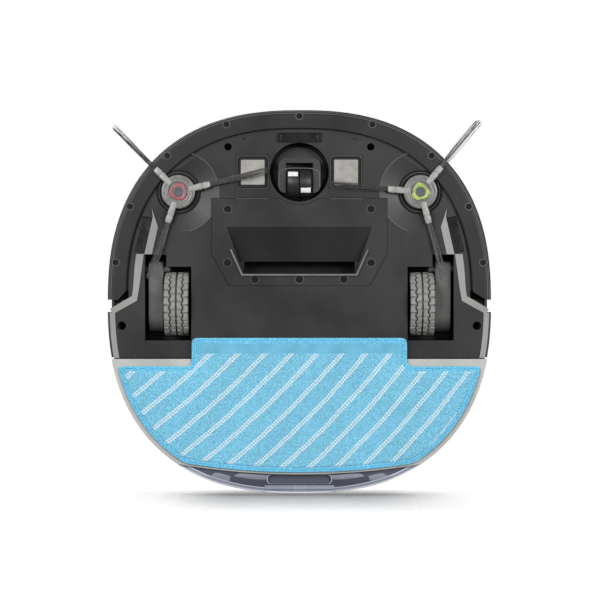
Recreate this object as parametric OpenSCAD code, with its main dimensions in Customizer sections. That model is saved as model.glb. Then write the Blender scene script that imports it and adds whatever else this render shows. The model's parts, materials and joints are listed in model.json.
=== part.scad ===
/*
 Low round-cornered floor robot: suction through a ramped mouth in the underside,
 two sweeping side brushes, two sprung drive wheels, one swivelling front roller,
 and a slide-out water tank that carries a mop plate and cloth under the tail.

 Frame: origin on the floor under the centre of the body, +Z up, -Y is the front.
 Bodies that move: bumper, two drive units with their wheels, roller fork and roller,
 two side brushes, fan, two keys, dust box with its lid, water tank, tank catch.
 All sizes are in millimetres.
*/

/* [Body] */
// half of the body's width and of its length
half = 155; // [140:0.5:175]
// how square the outline is: 2 is a circle, larger is squarer
bluntness = 2.42; // [2:0.01:4]
// straight edges used for one turn of the outline
steps = 96; // [48:4:160]
// height of the top face above the floor
body_top = 57; // [54:0.5:70]
// height of the underside above the floor
clearance = 9; // [8.5:0.5:12]
// thickness of the bottom plate
plate_t = 2.5; // [1.5:0.1:4]
// thickness of the outer walls
wall = 2.4; // [1.5:0.1:4]
// distance from the outline to the bottom plate's edge behind the bumper
plate_inset = 18.8; // [17:0.1:24]
// where the bottom plate ends, in front of the water tank
plate_end = 45.4; // [40:0.1:60]
// depth of the round dished recess over each side brush
dish_d = 2.6; // [1:0.1:4]

/* [Bumper] */
// width of the flange that the bumper turns under the body
ring_w = 15.6; // [10:0.1:20]
// height of the flange above the floor
ring_z = 8.4; // [8:0.1:12]
// top of the bumper above the floor
bumper_top = 49; // [40:0.5:52]
// how far behind the middle the bumper's two ends lie
bumper_end = -1.4; // [-20:0.1:0]
// distance of the screws from the outline
bumper_screw_inset = 5.7; // [4:0.1:8]

/* [Drive wheels] */
// diameter over the tread
wheel_d = 52; // [40:0.5:60]
// width of the tread
wheel_w = 20; // [12:0.5:26]
// sideways distance of the wheel's middle
wheel_x = 99.1; // [80:0.1:110]
// fore and aft place of the wheel's axle
wheel_y = 2; // [-20:0.1:20]
// grooves round the tread
tread_grooves = 3; // [1:1:6]
// fore and aft place of the drive unit's pivot
pivot_y = -26.5; // [-35:0.1:-20]
// height of the drive unit's pivot
pivot_z = 20; // [14:0.1:30]

/* [Front roller] */
// diameter of the roller
roller_d = 24; // [16:0.5:30]
// width of the roller over both halves
roller_w = 20.4; // [12:0.2:24]
// fore and aft place of the swivel's axis
swivel_y = -104.2; // [-115:0.1:-90]
// how far the roller trails behind the swivel's axis
trail = 8.4; // [4:0.1:12]
// radius of the turntable disc
turntable_r = 21.4; // [18:0.1:24]

/* [Side brushes] */
// sideways distance of each brush's axis
brush_x = 97.4; // [80:0.1:110]
// fore and aft place of each brush's axis
brush_y = -88.2; // [-100:0.1:-70]
// radius of the hub
hub_r = 13.6; // [10:0.1:18]
// radius at the end of the stiff arms
arm_r = 26; // [20:0.5:40]
// radius at the bristle tips
tip_r = 75; // [50:0.5:80]
// directions of the left brush's three soft arms
turns_left = [109, 225.3, 346.4]; // [0:0.1:360]
// directions of the right brush's three soft arms
turns_right = [74.8, 184.6, 310]; // [0:0.1:360]

/* [Suction mouth] */
// half of the slot's width
slot_half = 44.8; // [30:0.1:60]
// front edge of the slot
slot_front = -32.3; // [-40:0.1:-25]
// rear edge of the slot
slot_rear = -22.6; // [-30:0.1:-15]
// where the ramp in front of the slot starts
ramp_front = -60.5; // [-75:0.1:-45]

/* [Tank and mop] */
// underside of the mop plate above the floor
mop_z = 3.2; // [2:0.1:5]
// top of the water tank above the floor
tank_top = 31.5; // [24:0.1:40]
// front wall of the water tank
tank_front = 46.6; // [46:0.1:60]
// half width of the plate's front tab
tab_half = 85.6; // [60:0.1:110]
// front edge of the plate's tab
tab_front = 30.2; // [10:0.1:40]
// how far the cloth stays inside the body's outline
cloth_inset = 4.3; // [2:0.1:10]
// thickness of the cloth
cloth_t = 3; // [1.5:0.1:6]

/* [Dust box] */
// half of the dust box's width
bin_half = 71; // [50:0.5:80]
// front wall of the dust box
bin_front = -15; // [-18:0.1:0]
// rear wall of the dust box
bin_rear = 41.4; // [30:0.1:44]

/* [Hidden] */
$fn = 64;
wheel_r = wheel_d / 2;
plate_top = clearance + plate_t;
deck_top = body_top - 1.5;
deck_z = deck_top - 2.5;
axle_y = swivel_y + trail;
roller_r = roller_d / 2;
bay_roof = tank_top + 0.7;
hub_z = 4.4;
lid_axis_y = 42.5;
lid_axis_z = body_top - 0.9;
sweep = 587;
well = [[87.1, -28], [107.2, -28], [107.2, -37.7], [124.4, -37.7], [124.4, 31.4], [87.1, 31.4]];
well_flange = [[82.5, -33], [103.2, -33], [103.2, -39.7], [126.4, -39.7], [126.4, 36.4],
               [82.5, 36.4]];
nose_half = 51.5;
nose_rear = -77.5;
panel_holes = [[57.8, -31.2], [-57.8, -31.2], [0, -17.8], [35.8, -17.8], [-35.8, -17.8],
               [57.7, -74.5], [-57.7, -74.5]];
bumper_turns = [0, 18.9, -18.9, 41.6, -41.6, 63.6, -63.6, 81.3, -81.3];

mirrored_left = [for (turn = turns_left) 180 - turn];

// [node] which sub-part is drawn

// one point of the outline at turn t, moved in by inset
function rim(t, inset) = (half - inset) * [sign(cos(t)) * pow(abs(cos(t)), 2 / bluntness),
                                           sign(sin(t)) * pow(abs(sin(t)), 2 / bluntness)];

// the body's outline moved in by inset
module outline(inset = 0) {
    polygon([for (i = [0:steps - 1]) rim(360 * i / steps, inset)]);
}

// the part of a flat shape between two fore and aft places
module between(front, rear) {
    intersection() {
        children();
        translate([-200, front]) square([400, rear - front]);
    }
}

// a strip of the outline from inset a to the deeper inset b
module strip(a, b) {
    difference() {
        outline(a);
        outline(b);
    }
}

// two discs of radius ra and rb joined by their tangents
module link(a, ra, b, rb) {
    d = norm(b - a);
    turn = atan2(b[1] - a[1], b[0] - a[0]);
    lean = acos((ra - rb) / d);
    translate(a) circle(ra);
    translate(b) circle(rb);
    polygon([a + ra * [cos(turn + lean), sin(turn + lean)],
             a + ra * [cos(turn - lean), sin(turn - lean)],
             b + rb * [cos(turn - lean), sin(turn - lean)],
             b + rb * [cos(turn + lean), sin(turn + lean)]]);
}

// a rectangle centred on the origin with round corners
module round_rect(size, r) {
    square([size[0] - 2 * r, size[1]], center = true);
    square([size[0], size[1] - 2 * r], center = true);
    for (x = [-1, 1], y = [-1, 1])
        translate([x * (size[0] / 2 - r), y * (size[1] / 2 - r)]) circle(r);
}

// a flat shape made solid between two heights
module slab(low, high) {
    translate([0, 0, low]) linear_extrude(high - low) children();
}

// a flat shape drawn in (Y, Z), made solid from x = low to x = high
module across(low, high) {
    translate([low, 0, 0]) rotate([90, 0, 90]) linear_extrude(high - low) children();
}

// one side's piece, drawn for the right side, shown on side s
module side(s) {
    if (s > 0) children();
    else mirror([1, 0, 0]) children();
}

// the bottom plate's own outline
module plate_shape() {
    between(-half, bumper_end) outline(plate_inset);
    between(-75, bumper_end + 0.1) outline(17.4);
    intersection() {
        outline(6.8);
        polygon([[-142.4, bumper_end], [142.4, bumper_end], [145, 1.8], [145, 4], [150, 8.5],
                 [150, plate_end], [-150, plate_end], [-150, 8.5], [-145, 4], [-145, 1.8]]);
    }
}

// the hexagonal panel round the suction mouth, grown by extra
module panel_shape(extra = 0) {
    difference() {
        polygon([[-70.7 - extra, -83 - extra], [70.7 + extra, -83 - extra],
                 [70.7 + extra, -38.8 + extra / 2], [56.6 + extra, -12.9 + extra],
                 [-56.6 - extra, -12.9 + extra], [-70.7 - extra, -38.8 + extra / 2]]);
        translate([0, swivel_y]) circle(26.4 - extra);
        for (s = [-1, 1]) translate([s * 37.6, -104.1]) square([28 - extra, 50], center = true);
    }
}

// the place of one side cliff sensor on the right side
module cliff_place() {
    translate([125.7, -53.8]) rotate(-13) children();
}

module base_plate() {
    difference() {
        union() {
            slab(clearance, plate_top) plate_shape();
            slab(clearance, 50) between(-half, bumper_end)
                strip(plate_inset, plate_inset + 2.4);
            slab(clearance, bay_roof - 0.3) intersection() {
                strip(6.8, 9.2);
                translate([-200, 8.5]) square([400, plate_end - 8.5]);
            }
            slab(clearance, 14.2) intersection() {
                plate_shape();
                for (s = [-1, 1]) translate([s * brush_x, brush_y]) circle(33.6);
            }
        }
        nose_area(0.05);
        nose_cuts();
        for (s = [-1, 1]) side(s) {
            slab(0, 60) polygon(well_flange);
            translate([brush_x, brush_y, clearance - 0.01]) {
                cylinder(h = dish_d, r1 = 32.5, r2 = 15.7);
                cylinder(h = dish_d + 0.4, r = 15.7);
                cylinder(h = 10, r = 3.4);
            }
            slab(0, 15.6) cliff_place() round_rect([8, 29.4], 1);
            slab(0, 20) link([96.2, -110], 1.5, [72.4, -124.1], 1.5);
            translate([57.5, -124.6, 0]) cylinder(h = 20, r = 3);
            translate([143, 19.5, 0]) cylinder(h = 20, r = 3.4);
            translate([110.4, -41.8, 0]) cylinder(h = 20, r = 1.6);
        }
        slab(0, 20) panel_shape(0.3);
    }
}

// the block in front of the suction panel that the nose plate fills, grown by extra
module nose_area(extra = 0) {
    slab(clearance - 1, plate_top) translate([-nose_half - extra, -140])
        square([2 * (nose_half + extra), nose_rear + 140]);
}

// the front sensor's slot and two small notches in the front edge
module nose_cuts() {
    slab(0, 20) {
        translate([0, -132.2]) round_rect([37, 8.2], 1);
        for (s = [-1, 1]) translate([s * 45, -131.9]) square([3, 2.2], center = true);
    }
}

// front middle of the underside: round roller well, charging plates and the front sensor
module nose_plate() {
    difference() {
        intersection() {
            slab(clearance, plate_top + 1) outline(plate_inset);
            nose_area();
        }
        for (s = [-1, 1]) side(s) {
            translate([37.6, -104.1, 0]) {
                slab(0, clearance + 0.9) round_rect([27, 28], 1.5);
                slab(0, 20) round_rect([19.9, 21], 1);
            }
        }
        nose_cuts();
        slab(0, 20) panel_shape(0.3);
        translate([0, swivel_y, 0]) cylinder(h = 20, r = 23.8);
    }
}

module bay_shell() {
    slab(plate_top + 0.2, bay_roof + 2) between(plate_end - 2.4, plate_end) outline(9.6);
    difference() {
        slab(bay_roof, bay_roof + 2) between(plate_end - 0.1, half) outline(6.8);
        for (s = [-1, 1]) translate([s * 118, 70, 0]) cylinder(h = 60, r = 3);
    }
}

module top_shell() {
    difference() {
        translate([0, 0, deck_z]) linear_extrude(deck_top - deck_z, scale = (half - 2.6) / half)
            outline(0);
        translate([0, 13.5, 0]) slab(40, 70) round_rect([148, 62.6], 6);
        translate([0, -70, 0]) {
            cylinder(h = 70, r = 8.3);
            slab(deck_top - 1.2, 70) difference() {
                circle(12.1);
                circle(10.2);
            }
        }
        translate([26, -70, 0]) cylinder(h = 70, r = 5.3);
    }
}

// wall under the deck's edge: a low rim all round, and the tall wall behind the bumper's ends
module side_wall() {
    difference() {
        union() {
            slab(50, deck_z) strip(0, wall);
            slab(bay_roof + 0.4, 50.1) between(bumper_end + 9.9, half) strip(0, wall);
            slab(14, bay_roof + 0.5) between(bumper_end + 9.9, plate_end) strip(0, wall);
        }
        for (i = [-5:5]) translate([i * 9, half - 6, 41]) cube([3.2, 20, 7.5], center = true);
    }
}

module drive_frame() {
    difference() {
        union() {
            slab(clearance, plate_top + 0.2) polygon(well_flange);
            slab(plate_top + 0.1, deck_z - 0.1) {
                translate([85.1, -30]) square([41.3, 63.4]);
                translate([105.2, -39.7]) square([21.2, 20]);
            }
        }
        slab(0, 60) polygon(well);
        slab(0, 15.6) cliff_place() round_rect([8, 29.4], 1);
        translate([0, pivot_y, pivot_z]) rotate([0, 90, 0]) cylinder(h = 140, r = 2.56);
    }
    for (x = [88, 123.2]) translate([x, 34.4, plate_top + 0.1]) difference() {
        cylinder(h = 12, r = 2.6);
        translate([0, 0, -1]) cylinder(h = 8, r = 1.1);
    }
}

module caster_socket() {
    translate([0, swivel_y, 0]) difference() {
        union() {
            slab(plate_top + 0.1, 31) circle(26);
            slab(30.9, 46) circle(8);
        }
        slab(0, 28.8) circle(23.8);
        cylinder(h = 60, r = 4.06);
    }
}

// the light strip on the right side: a flat border, a small plate and an edge band
module side_trim() {
    slab(8.2, 8.9) {
        polygon([[131.4, -38.2], [132.7, -28], [133.9, -11], [134.8, -4.4], [152.6, 6], [150.2, 10.2],
                 [130.8, -0.6], [129, -11], [125.3, -38.2]]);
        polygon([[118.9, -75], [113.9, -59.9], [118.7, -38.1], [125.4, -38.1], [124.6, -39.2],
                 [121.2, -54.5], [118, -68]]);
    }
    slab(8.2, 13.6) intersection() {
        strip(2.2, 6.5);
        translate([100, 8.9]) square([100, plate_end - 8.9]);
    }
}

module suction_panel() {
    difference() {
        union() {
            slab(8.6, 11.4) panel_shape();
            slab(11.3, 20) translate([-62, -62]) square([124, 45.5]);
        }
        // ramp: deeper towards the slot, narrower towards the rear
        intersection() {
            across(-90, 90)
                polygon([[ramp_front, 8.5], [slot_front, 16.5], [slot_rear, 16.5], [slot_rear, 8.5]]);
            slab(0, 30) polygon([[-58.6, ramp_front], [58.6, ramp_front], [45.4, slot_rear],
                                 [-45.4, slot_rear]]);
        }
        slab(0, 30) translate([-slot_half, slot_front])
            square([2 * slot_half, slot_rear - slot_front]);
        for (p = panel_holes) translate([p[0], p[1], 0]) {
            cylinder(h = 9.9, r = 2.9);
            cylinder(h = 30, r = 1.4);
        }
        // hollow over the front of the ramp, and ribs left between
        for (i = [-2:2]) translate([i * 24, -58.4, 16.5]) cube([20, 5, 8], center = true);
    }
}

module suction_lip() {
    slab(6.4, 8.5) polygon([[-56, -41.6], [-46.6, -20.6], [46.6, -20.6], [56, -41.6], [54.6, -42.2],
                            [45.5, -22.1], [-45.5, -22.1], [-54.6, -42.2]]);
}

module suction_duct() {
    difference() {
        union() {
            slab(20.2, 46) translate([-48, -34.5]) square([96, 14]);
            slab(28, 46) translate([-33, -20.6]) square([66, 4.8]);
        }
        slab(20, 44) translate([-46, -32.5]) square([92, 10.2]);
        slab(30, 44) translate([-31, -24]) square([62, 10]);
    }
}

module plate_screws_grp() {
    for (p = panel_holes) translate([p[0], p[1], 0]) screw(8.7, 2.5, 1.1, 1.2, 8);
}

// one screw: head bottom at low, head radius and height, shank radius and length
module screw(low, head_r, head_h, shank_r, shank_l) {
    difference() {
        union() {
            translate([0, 0, low]) cylinder(h = head_h, r = head_r);
            translate([0, 0, low + head_h]) cylinder(h = shank_l, r = shank_r);
        }
        for (a = [0, 90]) translate([0, 0, low]) rotate(a)
            cube([head_r * 1.1, 0.6, 1], center = true);
    }
}

module charge_plate() {
    translate([37.6, -104.1, 0]) {
        slab(8.7, 11.6) round_rect([19.3, 20.4], 1);
        slab(11.5, 13.4) round_rect([23, 24], 1);
    }
}

module cliff_front() {
    difference() {
        slab(9.1, 18) translate([0, -132.2]) round_rect([36.4, 7.6], 0.8);
        slab(plate_top, 30) translate([0, swivel_y]) circle(26.3);
        slab(8, 10) translate([0, -132.6]) round_rect([29.5, 5.4], 1);
    }
}

module cliff() {
    difference() {
        slab(9.1, 15.2) cliff_place() round_rect([7.4, 28.8], 0.8);
        for (y = [-7, 7]) slab(8, 10) cliff_place() translate([0, y]) circle(2.6);
    }
}

module battery_pack() {
    // cell rows showing as rounded edges of the pack
    for (y = [-1, 1]) translate([0, -57.5 + y * 9.6, 32.4]) rotate([0, 90, 0])
        cylinder(h = 140, r = 9.2, center = true);
    translate([0, -57.5, 32.4]) cube([139, 19.2, 18.4], center = true);
}

module main_board() {
    slab(36, 37.6) translate([-104, 58]) square([62, 50]);
    for (x = [-99, -47], y = [63, 103]) translate([x, y, bay_roof + 2.2])
        cylinder(h = 38 - bay_roof - 2.2, r = 2.4);
    slab(37.5, 39) translate([-88, 72]) square([16, 16]);
    slab(37.5, 40.5) translate([-64, 68]) square([10, 8]);
    for (i = [0:3]) translate([-60 + i * 4.4, 94, 37.5]) cylinder(h = 8, r = 1.9);
    slab(37.5, 43) translate([-100, 84]) square([6, 16]);
}

module blower_housing() {
    translate([0, 80, 0]) difference() {
        union() {
            slab(bay_roof + 2.2, deck_z - 0.2) circle(29);
            slab(bay_roof + 2.2, deck_z - 0.2) translate([-36, -35.2]) square([72, 12]);
            slab(bay_roof + 2.2, deck_z - 0.2) translate([6, 4]) square([23, 58]);
        }
        slab(bay_roof + 4, 51) circle(27);
        slab(bay_roof + 4, 51) translate([-34, -40]) square([68, 20]);
        slab(bay_roof + 4, 51) translate([8, 10]) square([19, 60]);
    }
    translate([0, 80, bay_roof + 3]) cylinder(h = 12, r = 4);
}

module impeller() {
    translate([0, 80, 0]) difference() {
        union() {
            slab(40, 49) circle(8.5);
            slab(40, 41.2) circle(24);
            for (i = [0:10]) rotate(i * 360 / 11) slab(41, 49)
                polygon([[8, -0.6], [16, 1.4], [24, 5.2], [23.6, 6.3], [15.5, 2.7], [7.6, 0.9]]);
        }
        slab(30, 47.4) circle(4.06);
    }
}

module brush_motor() {
    difference() {
        translate([brush_x - 0.6, brush_y + 0.6, 0]) {
            slab(14.6, 24) circle(9.4);
            slab(23.9, 42) circle(8.2);
            slab(14.6, 17) link([-12, 12], 4, [0, 0], 6);
            slab(41.9, 44) circle(3);
        }
        translate([brush_x, brush_y, 0]) cylinder(h = 21, r = 3.06);
    }
}

module bumper_switches_grp() {
    // two boxes on the front wall, each with a lever that the bumper reaches
    for (s = [-1, 1]) side(s) translate([84, -104.6, 0]) rotate(-38) {
        slab(26, 36) translate([-6, -3]) square([12, 6]);
        slab(29, 33) translate([-4, -4.4]) square([8, 1.5]);
    }
}

module bumper_shell() {
    difference() {
        union() {
            slab(ring_z + 1.4, bumper_top - 1.5) between(-half, bumper_end) outline(0);
            translate([0, 0, bumper_top - 1.5]) linear_extrude(1.5, scale = (half - 1.2) / half)
                between(-half, bumper_end) outline(0);
            slab(ring_z, ring_z + 1.5) between(-half, bumper_end) outline(1.6);
        }
        slab(ring_z + 2, bumper_top - 2) outline(2.6);
        slab(0, 60) outline(ring_w);
        slab(0, 60) for (s = [-1, 1]) side(s)
            polygon([[130, -9.1], [138.9, -9.1], [145.4, bumper_end], [145.4, 5], [130, 5]]);
        // long window opening round the front
        slab(22, 40) between(-half - 5, -118) outline(-5);
        for (t = bumper_turns) translate(bumper_screw(t)) {
            translate([0, 0, 0]) cylinder(h = ring_z + 0.9, r = 2.5);
            cylinder(h = ring_z + 3, r = 1.1);
        }
    }
}

// place of a bumper screw, turn degrees away from straight ahead
function bumper_screw(turn) =
    let (p = rim(270 + turn, bumper_screw_inset)) [p[0], p[1], 0];

module bumper_window() {
    slab(22.2, 39.8) between(-half, -118.4) strip(0.3, 2.4);
}

module bumper_screws_grp() {
    for (t = bumper_turns) translate(bumper_screw(t)) screw(ring_z + 0.1, 2.15, 0.7, 1, 3);
}

module gearbox() {
    difference() {
        union() {
            across(109.9, 122.3) link([9.4, 31.5], 15.5, [pivot_y, pivot_z], 5.8);
            across(104.4, 127.2) translate([pivot_y, pivot_z]) circle(2.5);
        }
        across(112, 120.4) link([9.4, 31.5], 13.6, [pivot_y + 9, pivot_z + 3], 4);
    }
}

module drive_motor() {
    difference() {
        across(92.4, 109.8) translate([wheel_y, wheel_r]) circle(13);
        across(90, 104) translate([wheel_y, wheel_r]) circle(3.06);
    }
}

module wheel_rim() {
    difference() {
        across(89.5, 108.7) translate([wheel_y, wheel_r]) circle(20.4);
        across(91.6, 120) translate([wheel_y, wheel_r]) circle(16.4);
        for (i = [0:4]) across(80, 100) translate([wheel_y, wheel_r]) rotate(i * 72)
            translate([11, 0]) circle(2.4);
    }
    across(91.5, 103) translate([wheel_y, wheel_r]) circle(3);
}

module tyre() {
    pitch = (wheel_w - 2) / (tread_grooves + 1);
    translate([wheel_x, wheel_y, wheel_r]) rotate([0, 90, 0]) difference() {
        cylinder(h = wheel_w, r = wheel_r, center = true);
        cylinder(h = wheel_w + 2, r = 20.45, center = true);
        for (i = [1:tread_grooves]) difference() {
            translate([0, 0, -wheel_w / 2 + 1 + i * pitch])
                cylinder(h = 1.3, r = wheel_r + 1, center = true);
            cylinder(h = wheel_w, r = wheel_r - 1.4, center = true);
        }
    }
}

module caster_fork() {
    difference() {
        union() {
            translate([0, swivel_y, 0]) {
                slab(25.6, 28.2) circle(turntable_r);
                slab(28.1, 44) circle(4);
                slab(5.6, 25.7) difference() {
                    intersection() {
                        circle(22.6);
                        translate([0, 3]) round_rect([34, 28], 6);
                    }
                    translate([-10.9, -7.2]) square([21.8, 40]);
                }
            }
        }
        across(-30, 30) translate([axle_y, roller_r]) circle(1.56);
        across(-10.9, 10.9) translate([axle_y, roller_r]) circle(roller_r + 1.1);
    }
}

module caster_axle() {
    across(-16.4, 16.4) translate([axle_y, roller_r]) circle(1.5);
}

module caster_roller() {
    difference() {
        for (s = [-1, 1]) side(s) translate([0.3, axle_y, roller_r]) rotate([0, 90, 0])
            rotate_extrude() polygon([[1.55, 0], [11.6, 0], [roller_r, 0.5], [roller_r, 7.4],
                                      [11.4, 9], [9.8, 9.9], [1.55, 9.9]]);
        roller_mark_cuts();
    }
    across(-0.31, 0.31) translate([axle_y, roller_r]) difference() {
        circle(9);
        circle(1.55);
    }
}

// shallow windows in the roller, one on each half, at different turns
module roller_mark_cuts(grow = 0.05) {
    for (m = [[-1, -34], [1, 34]]) translate([m[0] * 5.1, axle_y, roller_r]) rotate([m[1], 0, 0])
        translate([0, 0, -roller_r]) cube([8 + grow, 4.6 + grow, 3], center = true);
}

module roller_marks() {
    intersection() {
        roller_mark_cuts(-0.05);
        across(-12, 12) translate([axle_y, roller_r]) difference() {
            circle(roller_r - 0.15);
            circle(roller_r - 1.4);
        }
    }
}

module brush_hub(turns) {
    translate([brush_x, brush_y, 0]) difference() {
        union() {
            slab(hub_z, 8.1) circle(hub_r);
            slab(8, 20.4) circle(3);
            for (turn = turns) rotate(turn) slab(4.6, 7.1)
                link([hub_r - 3, 0], 4.2, [arm_r - 2.4, 0], 2.4);
        }
        slab(0, hub_z + 1.6) circle(7.8);
    }
}

module brush_cap() {
    translate([brush_x, brush_y, 0]) {
        slab(hub_z + 0.1, hub_z + 1.5) circle(7.7);
        slab(hub_z - 0.5, hub_z + 0.2) circle(4.1);
    }
}

module bristles(turns) {
    root = arm_r + 0.1;
    translate([brush_x, brush_y, 0]) for (turn = turns) rotate(turn)
        translate([root, 0, 5.9]) rotate([0, 3.3, 0]) translate([0, 0, -0.8]) linear_extrude(1.6)
            polygon([[0, -1.7], [tip_r - root - 4, -2.9], [tip_r - root, -1.6],
                     [tip_r - root, 1.6], [tip_r - root - 4, 2.9], [0, 1.7]]);
}

module button(r) {
    slab(deck_z - 1.5, deck_z - 0.3) circle(r + 1.3);
    slab(deck_z - 0.4, deck_top + 0.6) circle(r);
    slab(deck_z - 5.5, deck_z - 1.4) circle(2.4);
}

module status_ring() {
    translate([0, -70, 0]) slab(deck_top - 1.1, deck_top) difference() {
        circle(12);
        circle(10.3);
    }
}

module tank_shell() {
    difference() {
        union() {
            slab(9.6, tank_top) between(tank_front, half) outline(0.2);
            slab(6.5, 9.7) between(tank_front, half) outline(1.8);
        }
        slab(9.2, tank_top - 2.4) between(tank_front + 2.4, half) outline(3);
        translate([-60, 74, 20]) cylinder(h = 20, r = 9.1);
        // sloping underside of the tail, and a finger hollow in it
        across(-160, 160) polygon([[139.4, 6], [160, 6], [160, 16.4]]);
        translate([0, 143.1, 0]) slab(0, 10.2) round_rect([51.2, 7.6], 3.4);
        // pocket for the catch in the rear face
        slab(12.6, 25.4) translate([-26, 143]) square([52, 20]);
    }
    // pocket's own walls, which keep the water in
    slab(10.4, 27.6) difference() {
        translate([-28, 140.9]) square([56, 10.6]);
        translate([-26, 143]) square([52, 20]);
    }
    for (z = [10.4, 25.4]) slab(z, z + 2.2) translate([-28, 140.9]) square([56, 10.6]);
}

module tank_cap() {
    translate([-60, 74, 0]) {
        slab(tank_top - 2.6, tank_top + 0.1) circle(9);
        slab(tank_top - 5, tank_top - 2.5) circle(8);
    }
}

module tank_latch() {
    slab(12.9, 25.1) intersection() {
        outline(0.4);
        translate([-25.7, 146]) square([51.4, 20]);
    }
}

// the mop plate's outline moved in by inset
module mop_shape(inset = 0) {
    intersection() {
        union() {
            between(plate_end + 0.7 + inset, half) outline(0.8 + inset);
            translate([-tab_half + inset, tab_front + inset]) square([2 * (tab_half - inset), 80]);
        }
        translate([0, 138.9 - inset / 3 - sweep]) circle(sweep, $fn = 360);
    }
}

module mop_plate() {
    slab(mop_z, 6.2) mop_shape();
}

module mop_cloth() {
    slab(0, cloth_t) intersection() {
        union() {
            between(51.9, half) outline(cloth_inset);
            translate([-86.4, 29.2]) square([172.8, 80]);
        }
        translate([0, 137.2 - sweep]) circle(sweep, $fn = 360);
    }
}

module bin_tub() {
    mid = (bin_front + bin_rear) / 2;
    deep = bin_rear - bin_front;
    difference() {
        translate([0, mid, 0]) slab(13.5, 53) round_rect([2 * bin_half, deep], 5);
        translate([0, mid, 0]) slab(15.5, 60) round_rect([2 * bin_half - 4, deep - 4], 3);
        slab(30, 44) translate([-31, bin_front - 5]) square([62, 12]);
        slab(36.5, 50) translate([-33, bin_rear - 6]) square([66, 12]);
    }
    // hinge knuckles of the lid
    for (x = [-60, 60]) difference() {
        union() {
            across(x - 3, x + 3) translate([lid_axis_y, lid_axis_z]) circle(0.9);
            across(x - 3, x + 3)
                polygon([[bin_rear - 1.6, 50], [bin_rear, 50], [lid_axis_y + 0.7, lid_axis_z - 0.6],
                         [lid_axis_y - 0.7, lid_axis_z - 0.6]]);
        }
        across(x - 9, x + 9) translate([lid_axis_y, lid_axis_z]) circle(0.5);
    }
}

module bin_lid() {
    difference() {
        slab(deck_top + 0.2, body_top) translate([0, (lid_axis_y + 0.3 - 19.2) / 2])
            round_rect([150.4, lid_axis_y + 0.3 + 19.2], 5.6);
        for (x = [-60, 60]) slab(50, 60) translate([x - 3.3, lid_axis_y - 1.2]) square([6.6, 10]);
        // finger dip at the front edge
        translate([0, -19.4, body_top + 9]) rotate([0, 90, 0])
            cylinder(h = 30, r = 9.8, center = true);
    }
    for (x = [-60, 60]) across(x - 3.6, x + 3.6) translate([lid_axis_y, lid_axis_z]) circle(0.45);
}

module bin_filter() {
    difference() {
        slab(35, 51) translate([-36, 34.6]) square([72, 4.4]);
        for (i = [-11:11]) slab(37, 49) translate([i * 3 - 0.7, 33]) square([1.4, 3.6]);
    }
}

color("#3e3e40") base_plate();
color("#3e3e40") nose_plate();
color("#46464a") bay_shell();
color("#3c3c3f") top_shell();
color("#3c3c3f") side_wall();
color("#2c2c2e") side(-1) drive_frame();  // drive_frame_l
color("#2c2c2e") side(1) drive_frame();  // drive_frame_r
color("#2c2c2e") caster_socket();
color("#8a8a86") side(-1) side_trim();  // side_trim_l
color("#8a8a86") side(1) side_trim();  // side_trim_r
color("#404042") suction_panel();
color("#8c8c8c") suction_lip();
color("#505054") suction_duct();
color("#b0b0b0") plate_screws_grp();
color("#a6a5a1") side(-1) charge_plate();  // charge_plate_l
color("#a6a5a1") side(1) charge_plate();  // charge_plate_r
color("#1c1c20") cliff_front();
color("#1c1c20") side(-1) cliff();  // cliff_l
color("#1c1c20") side(1) cliff();  // cliff_r
color("#2f4f7f") battery_pack();
color("#1f5a36") main_board();
color("#555558") blower_housing();
color("#a8a8aa") side(-1) brush_motor();  // brush_motor_l
color("#a8a8aa") side(1) brush_motor();  // brush_motor_r
color("#202022") bumper_switches_grp();
color("#dfe8ee") status_ring();
color("#39393c") bumper_shell();
color("#141418") bumper_window();
color("#98989a") bumper_screws_grp();
color("#484848") side(-1) gearbox();  // gearbox_l
color("#484848") side(1) gearbox();  // gearbox_r
color("#a0a0a2") side(-1) drive_motor();  // drive_motor_l
color("#a0a0a2") side(1) drive_motor();  // drive_motor_r
color("#303032") side(-1) wheel_rim();  // wheel_rim_l
color("#303032") side(1) wheel_rim();  // wheel_rim_r
color("#8c8c86") side(-1) tyre();  // tyre_l
color("#8c8c86") side(1) tyre();  // tyre_r
color("#383637") caster_fork();
color("#b0b0b0") caster_axle();
color("#2a2a2c") caster_roller();
color("#e8e8e4") roller_marks();
color("#727272") side(-1) brush_hub(mirrored_left);  // brush_hub_l
color("#727272") side(1) brush_hub(turns_right);  // brush_hub_r
color("#b04a50") side(-1) brush_cap();  // brush_cap_l
color("#a8b84c") side(1) brush_cap();  // brush_cap_r
color("#6a6258") side(-1) bristles(mirrored_left);  // bristles_l
color("#6a6258") side(1) bristles(turns_right);  // bristles_r
color("#d0d0d2") impeller();
color("#c8c8ca") translate([0, -70, 0]) button(8);  // power_button
color("#c8c8ca") translate([26, -70, 0]) button(5);  // home_button
color("#4d515f") tank_shell();
color("#8a8f9a") tank_cap();
color("#82858e") tank_latch();
color("#b4b4b0") mop_plate();
color("#9dcee4") mop_cloth();
color("#5a5f66") bin_tub();
color("#3c3c3f") bin_lid();
color("#dadada") bin_filter();
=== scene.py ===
"""Low round-cornered floor-cleaning robot, seen from below: its finished surfaces, materials and stage.

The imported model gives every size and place. Each operator makes one piece, or one group of like
pieces, on the body that carries it, and the last one sets up the floor, lights and camera.
"""

import json
import math

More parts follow.
